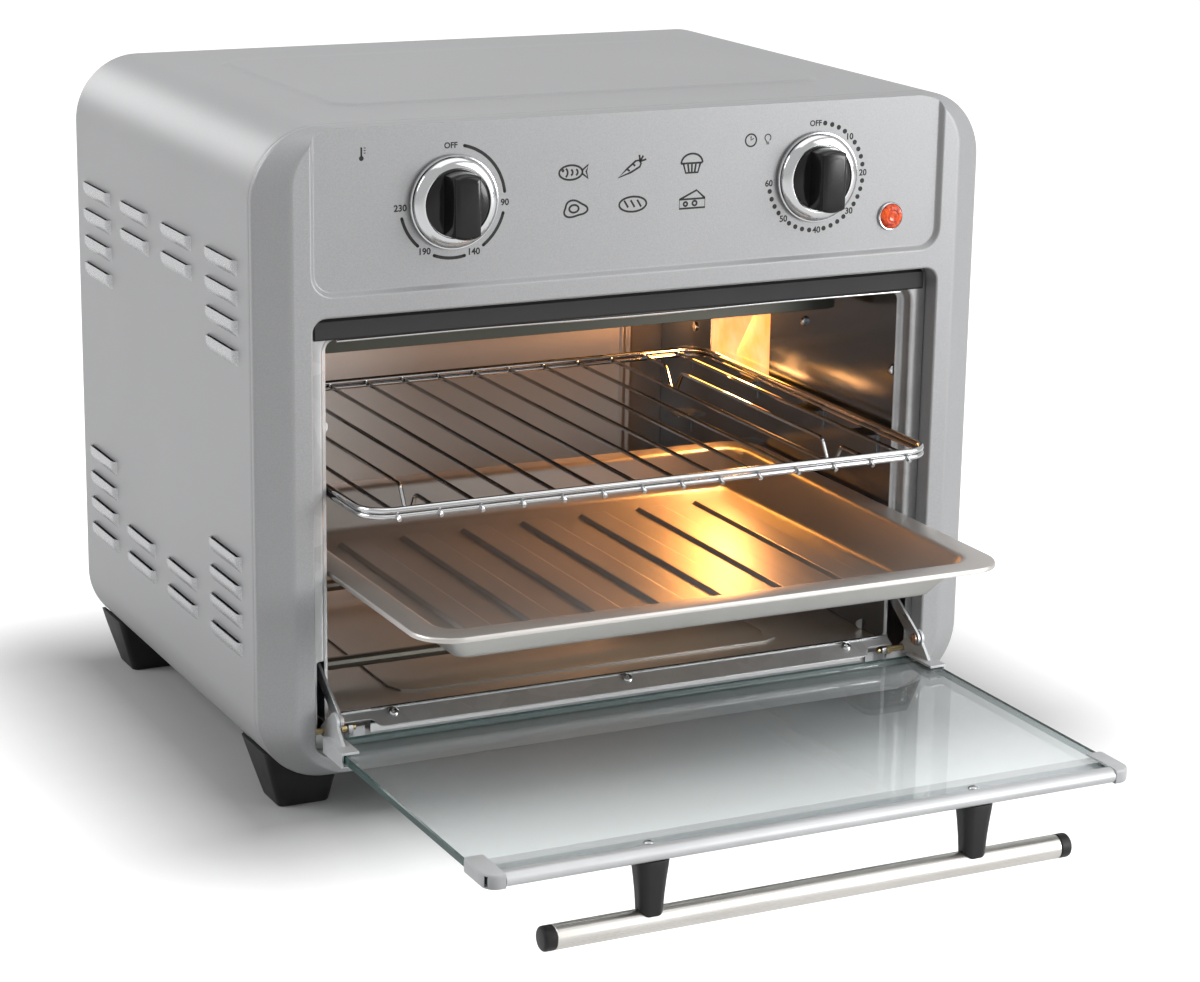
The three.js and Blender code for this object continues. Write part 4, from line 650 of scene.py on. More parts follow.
HALF_WIDTH = 200
BODY_BOTTOM = 20
BODY_TOP = 343
BODY_BOX = (-HALF_WIDTH, HALF_WIDTH, BODY_BOTTOM, BODY_TOP)
CORNER_RADIUS = 35
CORNER_STEPS = 18
COVER_BACK = 284
COVER_SHEET = 1
COVER_HEM = 42
COVER_STATIONS = (30, 100, 120, 175, 190, 250, COVER_BACK)
COVER_TOP_LINES = (150, 141, 138.4, 137.8, 137, 136, 135, 134.4, 133.8, 132, 130, 128, 126,
                   124, 122, 118, 100, 50)
EMBOSS_HALF_WIDTH = 138
EMBOSS_FRONT = 60
EMBOSS_BACK = 237
EMBOSS_RADIUS = 15
EMBOSS_SLOPE = 4
EMBOSS_HEIGHT = 1
EMBOSS_STEPS = (0, 0.8, 1.6, 2.4, 3.2, 4, 6, 8, 10, 12, 14, 17)
BEAD_LINE = ((12.3, -0.7), (12.6, -0.25), (13, 0), (13.6, -0.15), (14.2, 0), (15.2, 0), (16.4, 0))
LOUVRE_LENGTH = 43.3
LOUVRE_DROP = 8.2
LOUVRE_RISE = 2.6
LOUVRE_PITCH = 14.62
LOUVRE_ENDS = (268.9, 205.4, 139.0, 72.0)
LOUVRE_UPPER = 277.7
LOUVRE_LOWER = 130.9
LOUVRE_ROWS = 4
LOUVRE_INNER_ROWS = 2
LOUVRE_SHOULDER = 3.4
LOUVRE_FOOT = 5.44
LOUVRE_SHEET = 0.9
LOUVRE_SINK = 0.06
LOUVRE_LIP_RISE = 0.35
LOUVRE_STEPS_ALONG = (0, 0.12, 0.3, 0.55, 0.8, 1.2, 1.7, 2.3, 3.0, 3.8)
LOUVRE_STEPS_DOWN = (0, 0.6, 1.6, 2.8, 4.0, 5.0, 5.8, 6.5, 7.1, 7.5, 7.8, 8.0, LOUVRE_DROP)
SLIT_TOP = 0.6
SLIT_BOTTOM = 5.8
SLIT_INSET = 2.2
SLIT_MARGIN = 2


def louvre_places():
    places = []
    for column, back_end in enumerate(LOUVRE_ENDS):
        outer = column in (0, len(LOUVRE_ENDS) - 1)
        middle = back_end - LOUVRE_LENGTH / 2
        for row in range(LOUVRE_ROWS):
            if outer or row < LOUVRE_INNER_ROWS:
                places.append((middle, LOUVRE_UPPER - row * LOUVRE_PITCH))
            if outer or row >= LOUVRE_INNER_ROWS:
                places.append((middle, LOUVRE_LOWER - row * LOUVRE_PITCH))
    return places


def bulge(share):
    return math.sin(QUARTER_TURN * min(max(share, 0), 1))


def louvre_mesh():
    """The hood of one louvre: local X out of the sheet, Y along it, Z up from its lip."""
    half = LOUVRE_LENGTH / 2
    middle = half - LOUVRE_STEPS_ALONG[-1]
    along = [step - half for step in LOUVRE_STEPS_ALONG]
    along += [middle * (step / 4 - 1) for step in range(1, 8)]
    along += [half - step for step in reversed(LOUVRE_STEPS_ALONG)]
    points = []
    for fall in (-1, *LOUVRE_STEPS_DOWN):
        foot = bulge((LOUVRE_DROP - max(fall, 0)) / LOUVRE_FOOT)
        for u in along:
            out = LOUVRE_RISE * foot * bulge((half - abs(u)) / LOUVRE_SHOULDER)
            if fall < 0:
                points.append(Vector((out - LOUVRE_SHEET, u, -LOUVRE_LIP_RISE)) * MM)
            else:
                points.append(Vector((out - LOUVRE_SINK, u, -fall)) * MM)
    return grid_mesh(points, len(LOUVRE_STEPS_DOWN) + 1, len(along))


def cover_line():
    """The cover's outline seen from the front, hem to hem, as points with outward directions."""
    edge = HALF_WIDTH - CORNER_RADIUS
    low = BODY_BOTTOM + CORNER_RADIUS
    high = BODY_TOP - CORNER_RADIUS

    def corner(level, start):
        turns = arc(0, 0, 1, start, start + 1, CORNER_STEPS)[1:-1]
        return [(edge + CORNER_RADIUS * nx, level + CORNER_RADIUS * nz, nx, nz)
                for nx, nz in turns]

    levels = {low, high}
    for y, z in louvre_places():
        levels.update((z - SLIT_TOP, z - SLIT_BOTTOM))
    line = [(HALF_WIDTH - COVER_HEM, BODY_BOTTOM, 0, -1), (edge, BODY_BOTTOM, 0, -1)]
    line += corner(low, -1)
    line += [(HALF_WIDTH, z, 1, 0) for z in sorted(levels)]
    line += corner(high, 0)
    line += [(x, BODY_TOP, 0, 1) for x in (edge, *COVER_TOP_LINES)]
    left = [(-x, z, -nx, nz) for x, z, nx, nz in reversed(line)]
    return line + [(0, BODY_TOP, 0, 1)] + left


def emboss_rise(x, y):
    """How far the raised field on top stands proud at a point."""
    middle = (EMBOSS_FRONT + EMBOSS_BACK) / 2
    reach_x = abs(x) - (EMBOSS_HALF_WIDTH - EMBOSS_RADIUS)
    reach_y = abs(y - middle) - ((EMBOSS_BACK - EMBOSS_FRONT) / 2 - EMBOSS_RADIUS)
    beyond = math.hypot(max(reach_x, 0), max(reach_y, 0)) + min(max(reach_x, reach_y), 0)
    return EMBOSS_HEIGHT * eased(min(max((EMBOSS_RADIUS - beyond) / EMBOSS_SLOPE, 0), 1))


def cover_stations():
    stations = [*COVER_STATIONS, *dict(BEAD_LINE)]
    for back_end in LOUVRE_ENDS:
        stations += [back_end - LOUVRE_LENGTH + SLIT_INSET, back_end - SLIT_INSET]
    for step in EMBOSS_STEPS:
        stations += [EMBOSS_FRONT + step, EMBOSS_BACK - step]
    return sorted(set(round(y, 3) for y in stations))


def in_slit(y0, y1, z0, z1):
    for y, z in louvre_places():
        beside = abs((y0 + y1) / 2 - y) < LOUVRE_LENGTH / 2 - SLIT_MARGIN
        level = z - LOUVRE_DROP < (z0 + z1) / 2 < z and abs(z1 - z0) < LOUVRE_DROP
        if beside and level:
            return True
    return False


def make_outer_cover():
    line = cover_line()
    stations = cover_stations()
    beads = dict(BEAD_LINE)
    points = []
    for y in stations:
        for x, z, nx, nz in line:
            proud = beads.get(y, 0)
            if nz == 1:
                proud += emboss_rise(x, y)
            points.append(spot(x + nx * proud, y, z + nz * proud))
    faces = []
    for index, face in enumerate(ring_faces(len(stations), len(line), False)):
        station, step = divmod(index, len(line) - 1)
        z0, nx0 = line[step][1:3]
        z1, nx1 = line[step + 1][1:3]
        side_wall = abs(nx0) == 1 and abs(nx1) == 1
        if not (side_wall and in_slit(stations[station], stations[station + 1], z0, z1)):
            faces.append(tuple(reversed(face)))
    mesh = bpy.data.meshes.new("outer_cover_sheet")
    mesh.from_pydata(points, [], faces)
    turn_faces_out(mesh)
    shade_by_angle(mesh)
    cover = object_of("outer_cover_sheet", mesh, MATERIALS["silver_paint"])
    wall = cover.modifiers.new("sheet", "SOLIDIFY")
    wall.thickness = COVER_SHEET * MM
    wall.offset = -1
    wall.use_rim = True
    settle(cover)
    shade_by_angle(cover.data)
    fit_piece(cover, "housing", "silver_paint", "outer_cover")
    places = [(spot(side * HALF_WIDTH, y, z), (0, 0, turn))
              for side, turn in ((1, 0), (-1, math.pi)) for y, z in louvre_places()]
    # The hoods take the lightened louvre paint, a painted highlight.
    repeated("outer_cover_louvres", louvre_mesh(), places, "silver_paint", "housing",
             look="louvre_paint_painted_highlight")


# Front frame: chamfered stamping with the sunk control panel and the door recess

FRAME_DEPTH = 12
FRAME_SHEET = 1
FRAME_BEHIND = 6
FRAME_SMOOTH_ANGLE = math.radians(24)
FACE_BOX = (-183.6, 183.6, 23.5, 342)
FACE_RADIUS = 28
PANEL_BOX = (-171, 171, 264.8, 373)
PANEL_RADIUS = 9
PANEL_CORNER_STEPS = 10
PANEL_FACE = 2.5
PANEL_CORE_GROWTH = 4
RECESS_BOX = (-172.8, 172.8, 33, 252.3)
RECESS_RADIUS = 7
RECESS_CORNER_STEPS = 12
RECESS_RIM = 1.2
RECESS_RIM_STEPS = 5
RECESS_RIM_REACH = 5.3
RECESS_FLARE = ((1.92, -0.15), (4.8, -3))
RECESS_BACK = 60
RECESS_CORE_BACK = 40
CORE_FRONT = -1
KNOB_X = 100
KNOB_Z = 304
POWER_X = 144.5
POWER_Z = 281
HOLE_STEPS = 32
HOLE_REACH = (30, -10)
PANEL_HOLES = ((-KNOB_X, KNOB_Z, 5), (KNOB_X, KNOB_Z, 5), (POWER_X, POWER_Z, 6.3))
SIDE_LINE = ((0, 12), (0, 10.6), (0, 9.9), (0.012, 9.3), (0.045, 8.75), (0.10, 8.2), (0.5, 4.55),
             (0.84, 1.5), (0.90, 0.98), (0.95, 0.6), (0.99, 0.33), (1.03, 0.14), (1.07, 0.04),
             (1.10, 0))
POCKET_SLOPE = 2.5
POCKET_RIM = ((0, 0), (0.16, 0.04), (0.3, 0.13), (0.55, 0.45), (0.85, 0.85), (1, 0.95),
              (1.15, 0.99), (1.3, 1), (1.5, 1.03), (2.4, 1.9))


def frame_ring(share, inset):
    rim = rounded_outline(BODY_BOX, CORNER_RADIUS - inset, CORNER_STEPS, -inset)
    face = rounded_outline(FACE_BOX, FACE_RADIUS - inset, CORNER_STEPS, -inset)
    return [(x0 + (x1 - x0) * share, z0 + (z1 - z0) * share)
            for (x0, z0), (x1, z1) in zip(rim, face)]


def frame_solid(inset):
    rings = [along_axis(frame_ring(share, inset), "y", y + inset) for share, y in SIDE_LINE]
    if inset:
        rings.insert(0, along_axis(frame_ring(0, inset), "y", FRAME_DEPTH + FRAME_BEHIND))
    return loft_mesh(rings)


def panel_outline(grow):
    return rounded_outline(PANEL_BOX, PANEL_RADIUS + grow, PANEL_CORNER_STEPS, grow)


def recess_outline(grow):
    return rounded_outline(RECESS_BOX, RECESS_RADIUS + grow, RECESS_CORNER_STEPS, grow)


def make_front_frame():
    panel_core = prism_mesh(panel_outline(PANEL_CORE_GROWTH), "y", CORE_FRONT,
                            PANEL_FACE + FRAME_SHEET)
    recess_core = prism_mesh(recess_outline(FRAME_SHEET), "y", CORE_FRONT, RECESS_CORE_BACK)
    hollow = carved_mesh(frame_solid(FRAME_SHEET), panel_core, recess_core)
    panel = loft_mesh([
        along_axis(panel_outline(POCKET_SLOPE * grow), "y", PANEL_FACE * (1 - out))
        for grow, out in POCKET_RIM])
    edge = [(0, RECESS_BACK), (0, RECESS_RIM)]
    for step in range(1, RECESS_RIM_STEPS + 1):
        angle = QUARTER_TURN * step / RECESS_RIM_REACH
        edge.append((RECESS_RIM * (1 - math.cos(angle)), RECESS_RIM * (1 - math.sin(angle))))
    recess = loft_mesh([
        along_axis(recess_outline(grow), "y", y) for grow, y in (*edge, *RECESS_FLARE)])
    holes = [prism_mesh(circle_outline(x, z, radius, HOLE_STEPS), "y", *HOLE_REACH)
             for x, z, radius in PANEL_HOLES]
    stamping = piece(
        "front_frame_stamping", carved_mesh(frame_solid(0), hollow, panel, recess, *holes),
        "silver_paint", "housing", "front_frame", angle=FRAME_SMOOTH_ANGLE)
    weights = stamping.modifiers.new("weights", "WEIGHTED_NORMAL")
    weights.keep_sharp = True
    weights.weight = 100


# Knobs: a chrome ring on a base ring, and a black cap with a raised grip

KNOB_STEPS = 96
GRIP_STEPS = 10
RING_LINE = ((16.2, 0.6), (22.7, 0.6), (23.0, 0.9), (23.0, 1.8), (22.8, 2.2), (22.2, 2.3),
             (22.0, 1.2), (20.7, 1.2), (20.7, 2.6), (21.6, 2.9), (21.9, 3.4), (21.6, 4.1),
             (20.9, 4.9), (19.8, 5.7), (18.6, 6.25), (17.6, 6.5), (17.0, 6.45), (16.75, 6.1),
             (16.7, 5.2), (16.2, 5.2), (16.2, 0.6))
CAP_LINE = ((0, 5.0), (16.3, 5.0), (16.45, 5.4), (16.4, 6.1), (16.0, 6.6), (15.2, 6.9),
            (12, 7.2), (0, 7.5))
GRIP_LINE = ((6.9, 16.2, 15.6), (8.0, 16.15, 15.2), (12, 16.05, 14.5), (16, 15.95, 13.9),
             (17.6, 15.75, 13.6), (18.5, 15.3, 13.0), (19.1, 14.7, 12.2), (19.4, 13.8, 11.0),
             (19.55, 12.0, 8.6))


def grip_outline(x, reach, width):
    """Straight sides, with ends that follow the knob's own circle."""
    spread = math.asin(0.5 * width / reach) / QUARTER_TURN
    outline = []
    for turn in (-1, 1):
        outline += arc(x, KNOB_Z, reach, turn - spread, turn + spread, GRIP_STEPS)
    return outline


def make_knob(name, x):
    place = (x, PANEL_FACE, KNOB_Z)
    ring = turned_mesh(RING_LINE, KNOB_STEPS, place)
    piece(f"{name}_knob_bezel", ring, "chrome", f"{name}_control", f"{name}_knob_ring")
    grip = loft_mesh([along_axis(grip_outline(x, reach, width), "y", PANEL_FACE - out)
                      for out, reach, width in GRIP_LINE])
    cap = joined_mesh([turned_mesh(CAP_LINE, KNOB_STEPS, place), grip])
    piece(f"{name}_knob_cap", cap, "gloss_black", f"{name}_control", f"{name}_knob")


# Wire rack of round rods

RACK_Z = 163
RACK_BOX = (-158.5, 158.5, -28.8, 230)
RACK_CORNER = 14
RACK_CORNER_STEPS = 10
RACK_ROD = 1.65
RACK_LOWER_ROD = 1.35
RACK_WIRE = 1.1
RACK_WIRE_COUNT = 14
RACK_WIRE_PITCH = 21.8
RACK_TIP = 2.4
NOTCH_MIDDLES = (11.2, 190)
NOTCHED_BEND = (2.6, 5)
STRAIGHT_BEND = (2, 4)
NOTCH_LINE = ((-10, 0), (-3, -11.5), (3, -11.5), (10, 0))
ROD_SIDES = 14
WIRE_SIDES = 10


def rack_loop(level, radius):
    outline = rounded_outline(RACK_BOX, RACK_CORNER, RACK_CORNER_STEPS, -radius)
    return tube_mesh(along_axis(outline, "z", level), radius, ROD_SIDES, True)


def wire_mesh(x, notches, bend, bend_steps):
    level = RACK_Z - RACK_ROD
    front, back = RACK_BOX[2:]
    corners = [(front - RACK_TIP, level - RACK_TIP), (front + RACK_ROD, level)]
    for middle in notches:
        corners += [(middle + y, level + z) for y, z in NOTCH_LINE]
    corners.append((back - RACK_ROD, level))
    path = bent_path(along_axis(corners, "x", x), bend, bend_steps)
    return tube_mesh(path, RACK_WIRE, WIRE_SIDES)


def make_wire_rack():
    middle = (RACK_WIRE_COUNT - 1) / 2
    xs = [(index - middle) * RACK_WIRE_PITCH for index in range(RACK_WIRE_COUNT)]
    stops = (xs[1], xs[-2])
    lower = RACK_Z - RACK_ROD - RACK_LOWER_ROD
    rods = [rack_loop(RACK_Z, RACK_ROD), rack_loop(lower, RACK_LOWER_ROD)]
    rods += [wire_mesh(x, NOTCH_MIDDLES, *NOTCHED_BEND) for x in stops]
    piece("wire_rack_frame", joined_mesh(rods), "chrome", "rack", "wire_rack")
    places = [(Vector((x, 0, 0)) * MM, (0, 0, 0)) for x in xs if x not in stops]
    repeated("wire_rack_wires", wire_mesh(0, (), *STRAIGHT_BEND), places, "chrome", "rack")


# Baking tray: pressed pan with a rolled lip and a ribbed floor

TRAY_RIM_Z = 121.5
TRAY_FLOOR_Z = 102.2
TRAY_BOX = (-158.5, 158.5, -103, 173)
TRAY_MIDDLE_Y = 35
TRAY_RADIUS = 20
TRAY_RADIUS_LOSS = 0.5
TRAY_CORNER_STEPS = 14
TRAY_SMALLEST_RADIUS = 6
TRAY_UNDERSIDE = ((31.5, 20.5), (29.4, 20.35), (27.7, 19.6), (26.3, 17.9), (14.3, 3.5),
                  (13.5, 2.1), (12.4, 1.4), (11.0, 1.2), (1.2, 1.2), (1.0, 1.5), (1.0, 2.5))
TRAY_TOPSIDE = ((0, 2.5), (0, 1.3), (0.15, 0.7), (0.55, 0.2), (1.2, 0), (11.6, 0), (12.8, 0.12),
                (13.9, 0.6), (14.8, 1.5), (15.4, 2.6), (27.0, 16.6), (27.9, 17.8), (29.0, 18.7),
                (30.6, 19.2), (32.6, 19.3))
RIB_COUNT = 7
RIB_PITCH = 35
RIB_HALF_WIDTH = 8.75
RIB_REACH = 88
RIB_SIDE_SLOPE = 1.9
RIB_END_SLOPE = 3.42
RIB_HEIGHT = 2.1
RIB_SINK = 0.03
RIB_STEPS_ACROSS = (0, 0.2, 0.45, 0.8, 1.2, 1.6, 2.0, 2.4, 2.9)
RIB_STEPS_ALONG = (0, 0.3, 0.7, 1.2, 1.8, 2.6, 3.6, 5, 7)


def tray_ring(inset, drop):
    radius = max(TRAY_RADIUS - TRAY_RADIUS_LOSS * inset, TRAY_SMALLEST_RADIUS)
    outline = rounded_outline(TRAY_BOX, radius, TRAY_CORNER_STEPS, -inset)
    return along_axis(outline, "z", TRAY_RIM_Z - drop)


def from_both_ends(half, steps):
    return [step - half for step in steps] + [half - step for step in reversed(steps)]


def tray_rib():
    """One pressed rib, local to its middle: X across, Y along, up from the tray's floor."""
    across = from_both_ends(RIB_HALF_WIDTH, RIB_STEPS_ACROSS)
    along = from_both_ends(RIB_REACH, RIB_STEPS_ALONG)
    points = []
    for y in along:
        near_end = min((RIB_REACH - abs(y)) / RIB_END_SLOPE, 1)
        for x in across:
            near_side = min((RIB_HALF_WIDTH - abs(x)) / RIB_SIDE_SLOPE, 1)
            rise = RIB_HEIGHT * eased(near_side * near_end)
            points.append(Vector((x, y, rise - RIB_SINK)) * MM)
    return grid_mesh(points, len(along), len(across))


def make_baking_tray():
    rings = [tray_ring(inset, drop) for inset, drop in TRAY_UNDERSIDE + TRAY_TOPSIDE]
    piece("baking_tray_pan", loft_mesh(rings), "tray_metal", "tray", "baking_tray")
    middle = (RIB_COUNT - 1) / 2
    places = [(spot((index - middle) * RIB_PITCH, TRAY_MIDDLE_Y, TRAY_FLOOR_Z), (0, 0, 0))
              for index in range(RIB_COUNT)]
    repeated("baking_tray_ribs", tray_rib(), places, "tray_metal", "tray")


# Door: ground glass, its free-edge trim with end caps, and the handle

DOOR_FRONT = -198.3
GLASS_HALF_WIDTH = 169.5
GLASS_TOP = 43
GLASS_BOTTOM = 38.5
GLASS_BOX = (-GLASS_HALF_WIDTH, GLASS_HALF_WIDTH, DOOR_FRONT + 2.9, -3.5)
GLASS_RADIUS = 4
GLASS_CORNER_STEPS = 8
GLASS_GRIND = 0.7
GLASS_EDGE_TURN = 0.99
TRIM_HALF_WIDTH = 160.7
TRIM_NOSE = 3.4
TRIM_NOSE_STEPS = 16
TRIM_REACH = 26.5
TRIM_TOP = 44.2
TRIM_BOTTOM = 37.3
TRIM_ABOVE = ((6.4, 43.35), (6.6, 43.7), (6.2, 44.1), (5.6, TRIM_TOP))
TRIM_BELOW = ((26.1, TRIM_BOTTOM), (TRIM_REACH, 37.6), (TRIM_REACH, 37.9), (26.2, 38.2),
              (3.6, 38.2), (2.6, 39.0), (2.6, 42.6), (3.6, 43.35))
CAP_INNER = 161
CAP_OUTER = 170.5
CAP_CORNER = 7
CAP_CORNER_STEPS = 8
CAP_LEVELS = ((1.3, 37.1), (0.55, 37.3), (0.15, 37.8), (0, 38.6), (0, 42.6), (0.15, 43.5),
              (0.55, 44.1), (1.3, 44.4))
CAP_NIP_BACK = 2
CAP_NIP_ACROSS = 0.8
CAP_CLEARANCE = 0.3
CAP_POCKET = (156, 169.8, -195.7, -162.8)


def make_door_glass():
    mesh = loft_mesh([
        along_axis(rounded_outline(GLASS_BOX, GLASS_RADIUS, GLASS_CORNER_STEPS, -inset), "z", z)
        for inset, z in ((GLASS_GRIND, GLASS_BOTTOM), (0, GLASS_BOTTOM + GLASS_GRIND),
                         (0, GLASS_TOP - GLASS_GRIND), (GLASS_GRIND, GLASS_TOP))])
    piece("door_glass_pane", mesh, "door_glass", "door", "door_glass")
    mesh.materials.append(MATERIALS["glass_edge"])
    for face in mesh.polygons:
        if abs(face.normal.z) < GLASS_EDGE_TURN:
            face.material_index = 1


def make_door_trim():
    middle = (TRIM_TOP + TRIM_BOTTOM) / 2
    height = (TRIM_TOP - TRIM_BOTTOM) / 2
    nose = [(TRIM_NOSE * (1 + u), middle + height * v)
            for u, v in arc(0, 0, 1, 1, 3, TRIM_NOSE_STEPS)]
    outline = [(DOOR_FRONT + y, z) for y, z in (*TRIM_ABOVE, *nose, *TRIM_BELOW)]
    strip = prism_mesh(outline, "x", -TRIM_HALF_WIDTH, TRIM_HALF_WIDTH)
    piece("door_trim_strip", strip, "trim_metal", "door", "door_trim")
    for side, side_name in SIDES:
        piece(f"trim_cap_{side_name}", trim_cap_mesh(side), "grey_plastic", "door",
              f"trim_end_{side_name}")


def trim_cap_mesh(side):
    back = DOOR_FRONT + TRIM_REACH

    def outline(inset):
        x = CAP_OUTER - inset
        corner = arc(CAP_OUTER - CAP_CORNER, DOOR_FRONT + CAP_CORNER, CAP_CORNER - inset, -1, 0,
                     CAP_CORNER_STEPS)
        return [(CAP_INNER, back - inset), (CAP_INNER, DOOR_FRONT + inset), *corner,
                (x, back - CAP_NIP_BACK), (x - CAP_NIP_ACROSS, back - inset)]

    solid = loft_mesh([
        along_axis(mirrored(outline(inset), side), "z", z) for inset, z in CAP_LEVELS])
    pocket = prism_mesh(mirrored(box_outline(*CAP_POCKET), side), "z",
                        GLASS_BOTTOM - CAP_CLEARANCE, GLASS_TOP + CAP_CLEARANCE)
    return carved_mesh(solid, pocket)


HANDLE_Y = -189.5
HANDLE_Z = 6.5
HANDLE_RADIUS = 5.9
HANDLE_HALF = 134
HANDLE_WALL = 1.1
HANDLE_EDGE = 0.3
HANDLE_STEPS = 48
PLUG_LINE = ((-1.5, 134.3), (-0.2, 134.3), (0, 134.6), (0, 138.7), (-0.25, 139.5), (-0.9, 140.1),
             (-1.8, 140.3))
POST_X = 86
POST_RADIUS_SHARE = 0.36
POST_CORNER_STEPS = 8
POST_LINE = ((4.0, 10.4, 8.9), (4.6, 11.2, 9.7), (7, 11.6, 10.0), (13, 12.0, 10.4),
             (20, 12.9, 11.2), (27, 14.3, 12.4), (33, 15.8, 13.5), (36.3, 16.5, 14.0),
             (37, 16.2, 13.7))
SADDLE_CLEARANCE = 0.25
SADDLE_LEVELS = (-5, HANDLE_Z + 2.6)
SADDLE_REACH = 20


def handle_ring(grow, x):
    outline = circle_outline(HANDLE_Y, HANDLE_Z, HANDLE_RADIUS + grow, HANDLE_STEPS)
    return along_axis(outline, "x", x)


def make_handle():
    half = HANDLE_HALF
    line = ((-HANDLE_WALL, -half), (-HANDLE_EDGE, -half), (0, HANDLE_EDGE - half),
            (0, half - HANDLE_EDGE), (-HANDLE_EDGE, half), (-HANDLE_WALL, half))
    bar = loft_mesh([handle_ring(grow, x) for grow, x in line], True)
    piece("handle_bar", bar, "handle_steel", "door", "handle_tube")
    for side, side_name in SIDES:
        plug = loft_mesh([handle_ring(grow, side * x) for grow, x in PLUG_LINE])
        piece(f"handle_plug_{side_name}", plug, "black_plastic", "door", f"handle_end_{side_name}")
        piece(f"handle_stand_{side_name}", post_mesh(side * POST_X), "black_plastic", "door",
              f"handle_post_{side_name}")


def post_mesh(x):
    rings = []
    for z, width, depth in POST_LINE:
        box = (x - width / 2, x + width / 2, HANDLE_Y - depth / 2, HANDLE_Y + depth / 2)
        outline = rounded_outline(box, POST_RADIUS_SHARE * depth, POST_CORNER_STEPS)
        rings.append(along_axis(outline, "z", z))
    ends = (x - SADDLE_REACH, x + SADDLE_REACH)
    saddle = loft_mesh([handle_ring(SADDLE_CLEARANCE, end) for end in ends])
    around = box_outline(*ends, HANDLE_Y - SADDLE_REACH, HANDLE_Y + SADDLE_REACH)
    below = prism_mesh(around, "z", *SADDLE_LEVELS)
    return carved_mesh(loft_mesh(rings), saddle, below)


# Feet: moulded blocks that reach up the cover's lower corners

FOOT_INNER = 156.6
FOOT_OUTER = 183.8
FOOT_LENGTH = 25
FOOT_SPREAD = 6
FOOT_OUTER_SPREAD = 9
FOOT_RADIUS = 3.2
FOOT_CORNER_STEPS = 8
FOOT_GAP = 0.3
FOOT_EDGE = 0.5
FOOT_LEVELS = ((0, 0, 0.9), (0, 0.25, 0.35), (0, 0.9, 0), (0.5, 15.5, 0), (1, 31, 0))
FOOT_FRONTS = (("front", 24.5), ("back", 257.4))
HOUSING_CORNER_STEPS = 24
HOUSING_REACH = (-20, 400)
BEHIND_COVER = box_outline(-300, 300, -10, 90)
BEHIND_REACH = (COVER_BACK, COVER_BACK + 40)


def foot_mesh(side, front):
    rings = []
    for share, z, inset in FOOT_LEVELS:
        spread = FOOT_SPREAD * share
        box = (FOOT_INNER - spread, FOOT_OUTER + FOOT_OUTER_SPREAD * share, front - spread,
               front + FOOT_LENGTH + spread)
        outline = rounded_outline(box, FOOT_RADIUS, FOOT_CORNER_STEPS, -inset)
        rings.append(along_axis(mirrored(outline, side), "z", z))
    housing = rounded_outline(
        BODY_BOX, CORNER_RADIUS + FOOT_GAP, HOUSING_CORNER_STEPS, FOOT_GAP)
    return carved_mesh(loft_mesh(rings), prism_mesh(housing, "y", *HOUSING_REACH),
                       prism_mesh(BEHIND_COVER, "y", *BEHIND_REACH))


def make_feet():
    for row, front in FOOT_FRONTS:
        for side, side_name in SIDES:
            foot = piece(f"foot_block_{row}_{side_name}", foot_mesh(side, front), "black_plastic",
                         "housing", f"foot_{row}_{side_name}")
            round_edges(foot, FOOT_EDGE, BLOCK_ANGLE)


# Cavity mouth: the stepped flange with its hinge slots, and the sill plate

FLANGE_FRONT = 10
FLANGE_SHEET = 0.8
FLANGE_BOX = (-172.5, 172.5, 33.3, 252)
FLANGE_RADIUS = 6.7
FLANGE_EDGE = ((0, 0.5), (0.1, 0.15), (0.4, 0))
MOUTH_BOX = (-160, 160, 45.6, 237.8)
MOUTH_RADIUS = 5
MOUTH_CORNER_STEPS = 10
MOUTH_LINE = ((5.9, 0), (5.2, 0.1), (4.7, 0.4), (4.3, 0.9), (4.1, 1.7), (4.0, 2.6), (4.0, 4.9),
              (3.9, 5.8), (3.6, 6.4), (3.1, 6.8), (2.4, 7.0), (0.9, 7.0), (0.4, 7.1), (0.1, 7.4),
              (0.1, 7.7), (0.6, 7.8), (3.2, 7.8), (4.2, 7.5), (4.75, 6.6), (4.8, 5.6),
              (4.8, 2.6), (5.0, 1.4), (5.6, 0.95), (6.6, 0.8))
HINGE_SLOT = (161.9, 168.7, 42.5, 79)
HINGE_SLOT_RADIUS = 1.5
HINGE_SLOT_STEPS = 6
HINGE_SLOT_REACH = (0, 30)
LIP_HALF = 157
LIP_Y = 10.4
LIP_Z = 238.9
LIP_RADIUS = 0.75
LIP_SIDES = 12
LIP_WAVE = 0.45
LIP_WAVE_RATE = 9
LIP_STEPS = 60


def flange_ring(inset, back):
    outline = rounded_outline(FLANGE_BOX, FLANGE_RADIUS, MOUTH_CORNER_STEPS, -inset)
    return along_axis(outline, "y", FLANGE_FRONT + back)


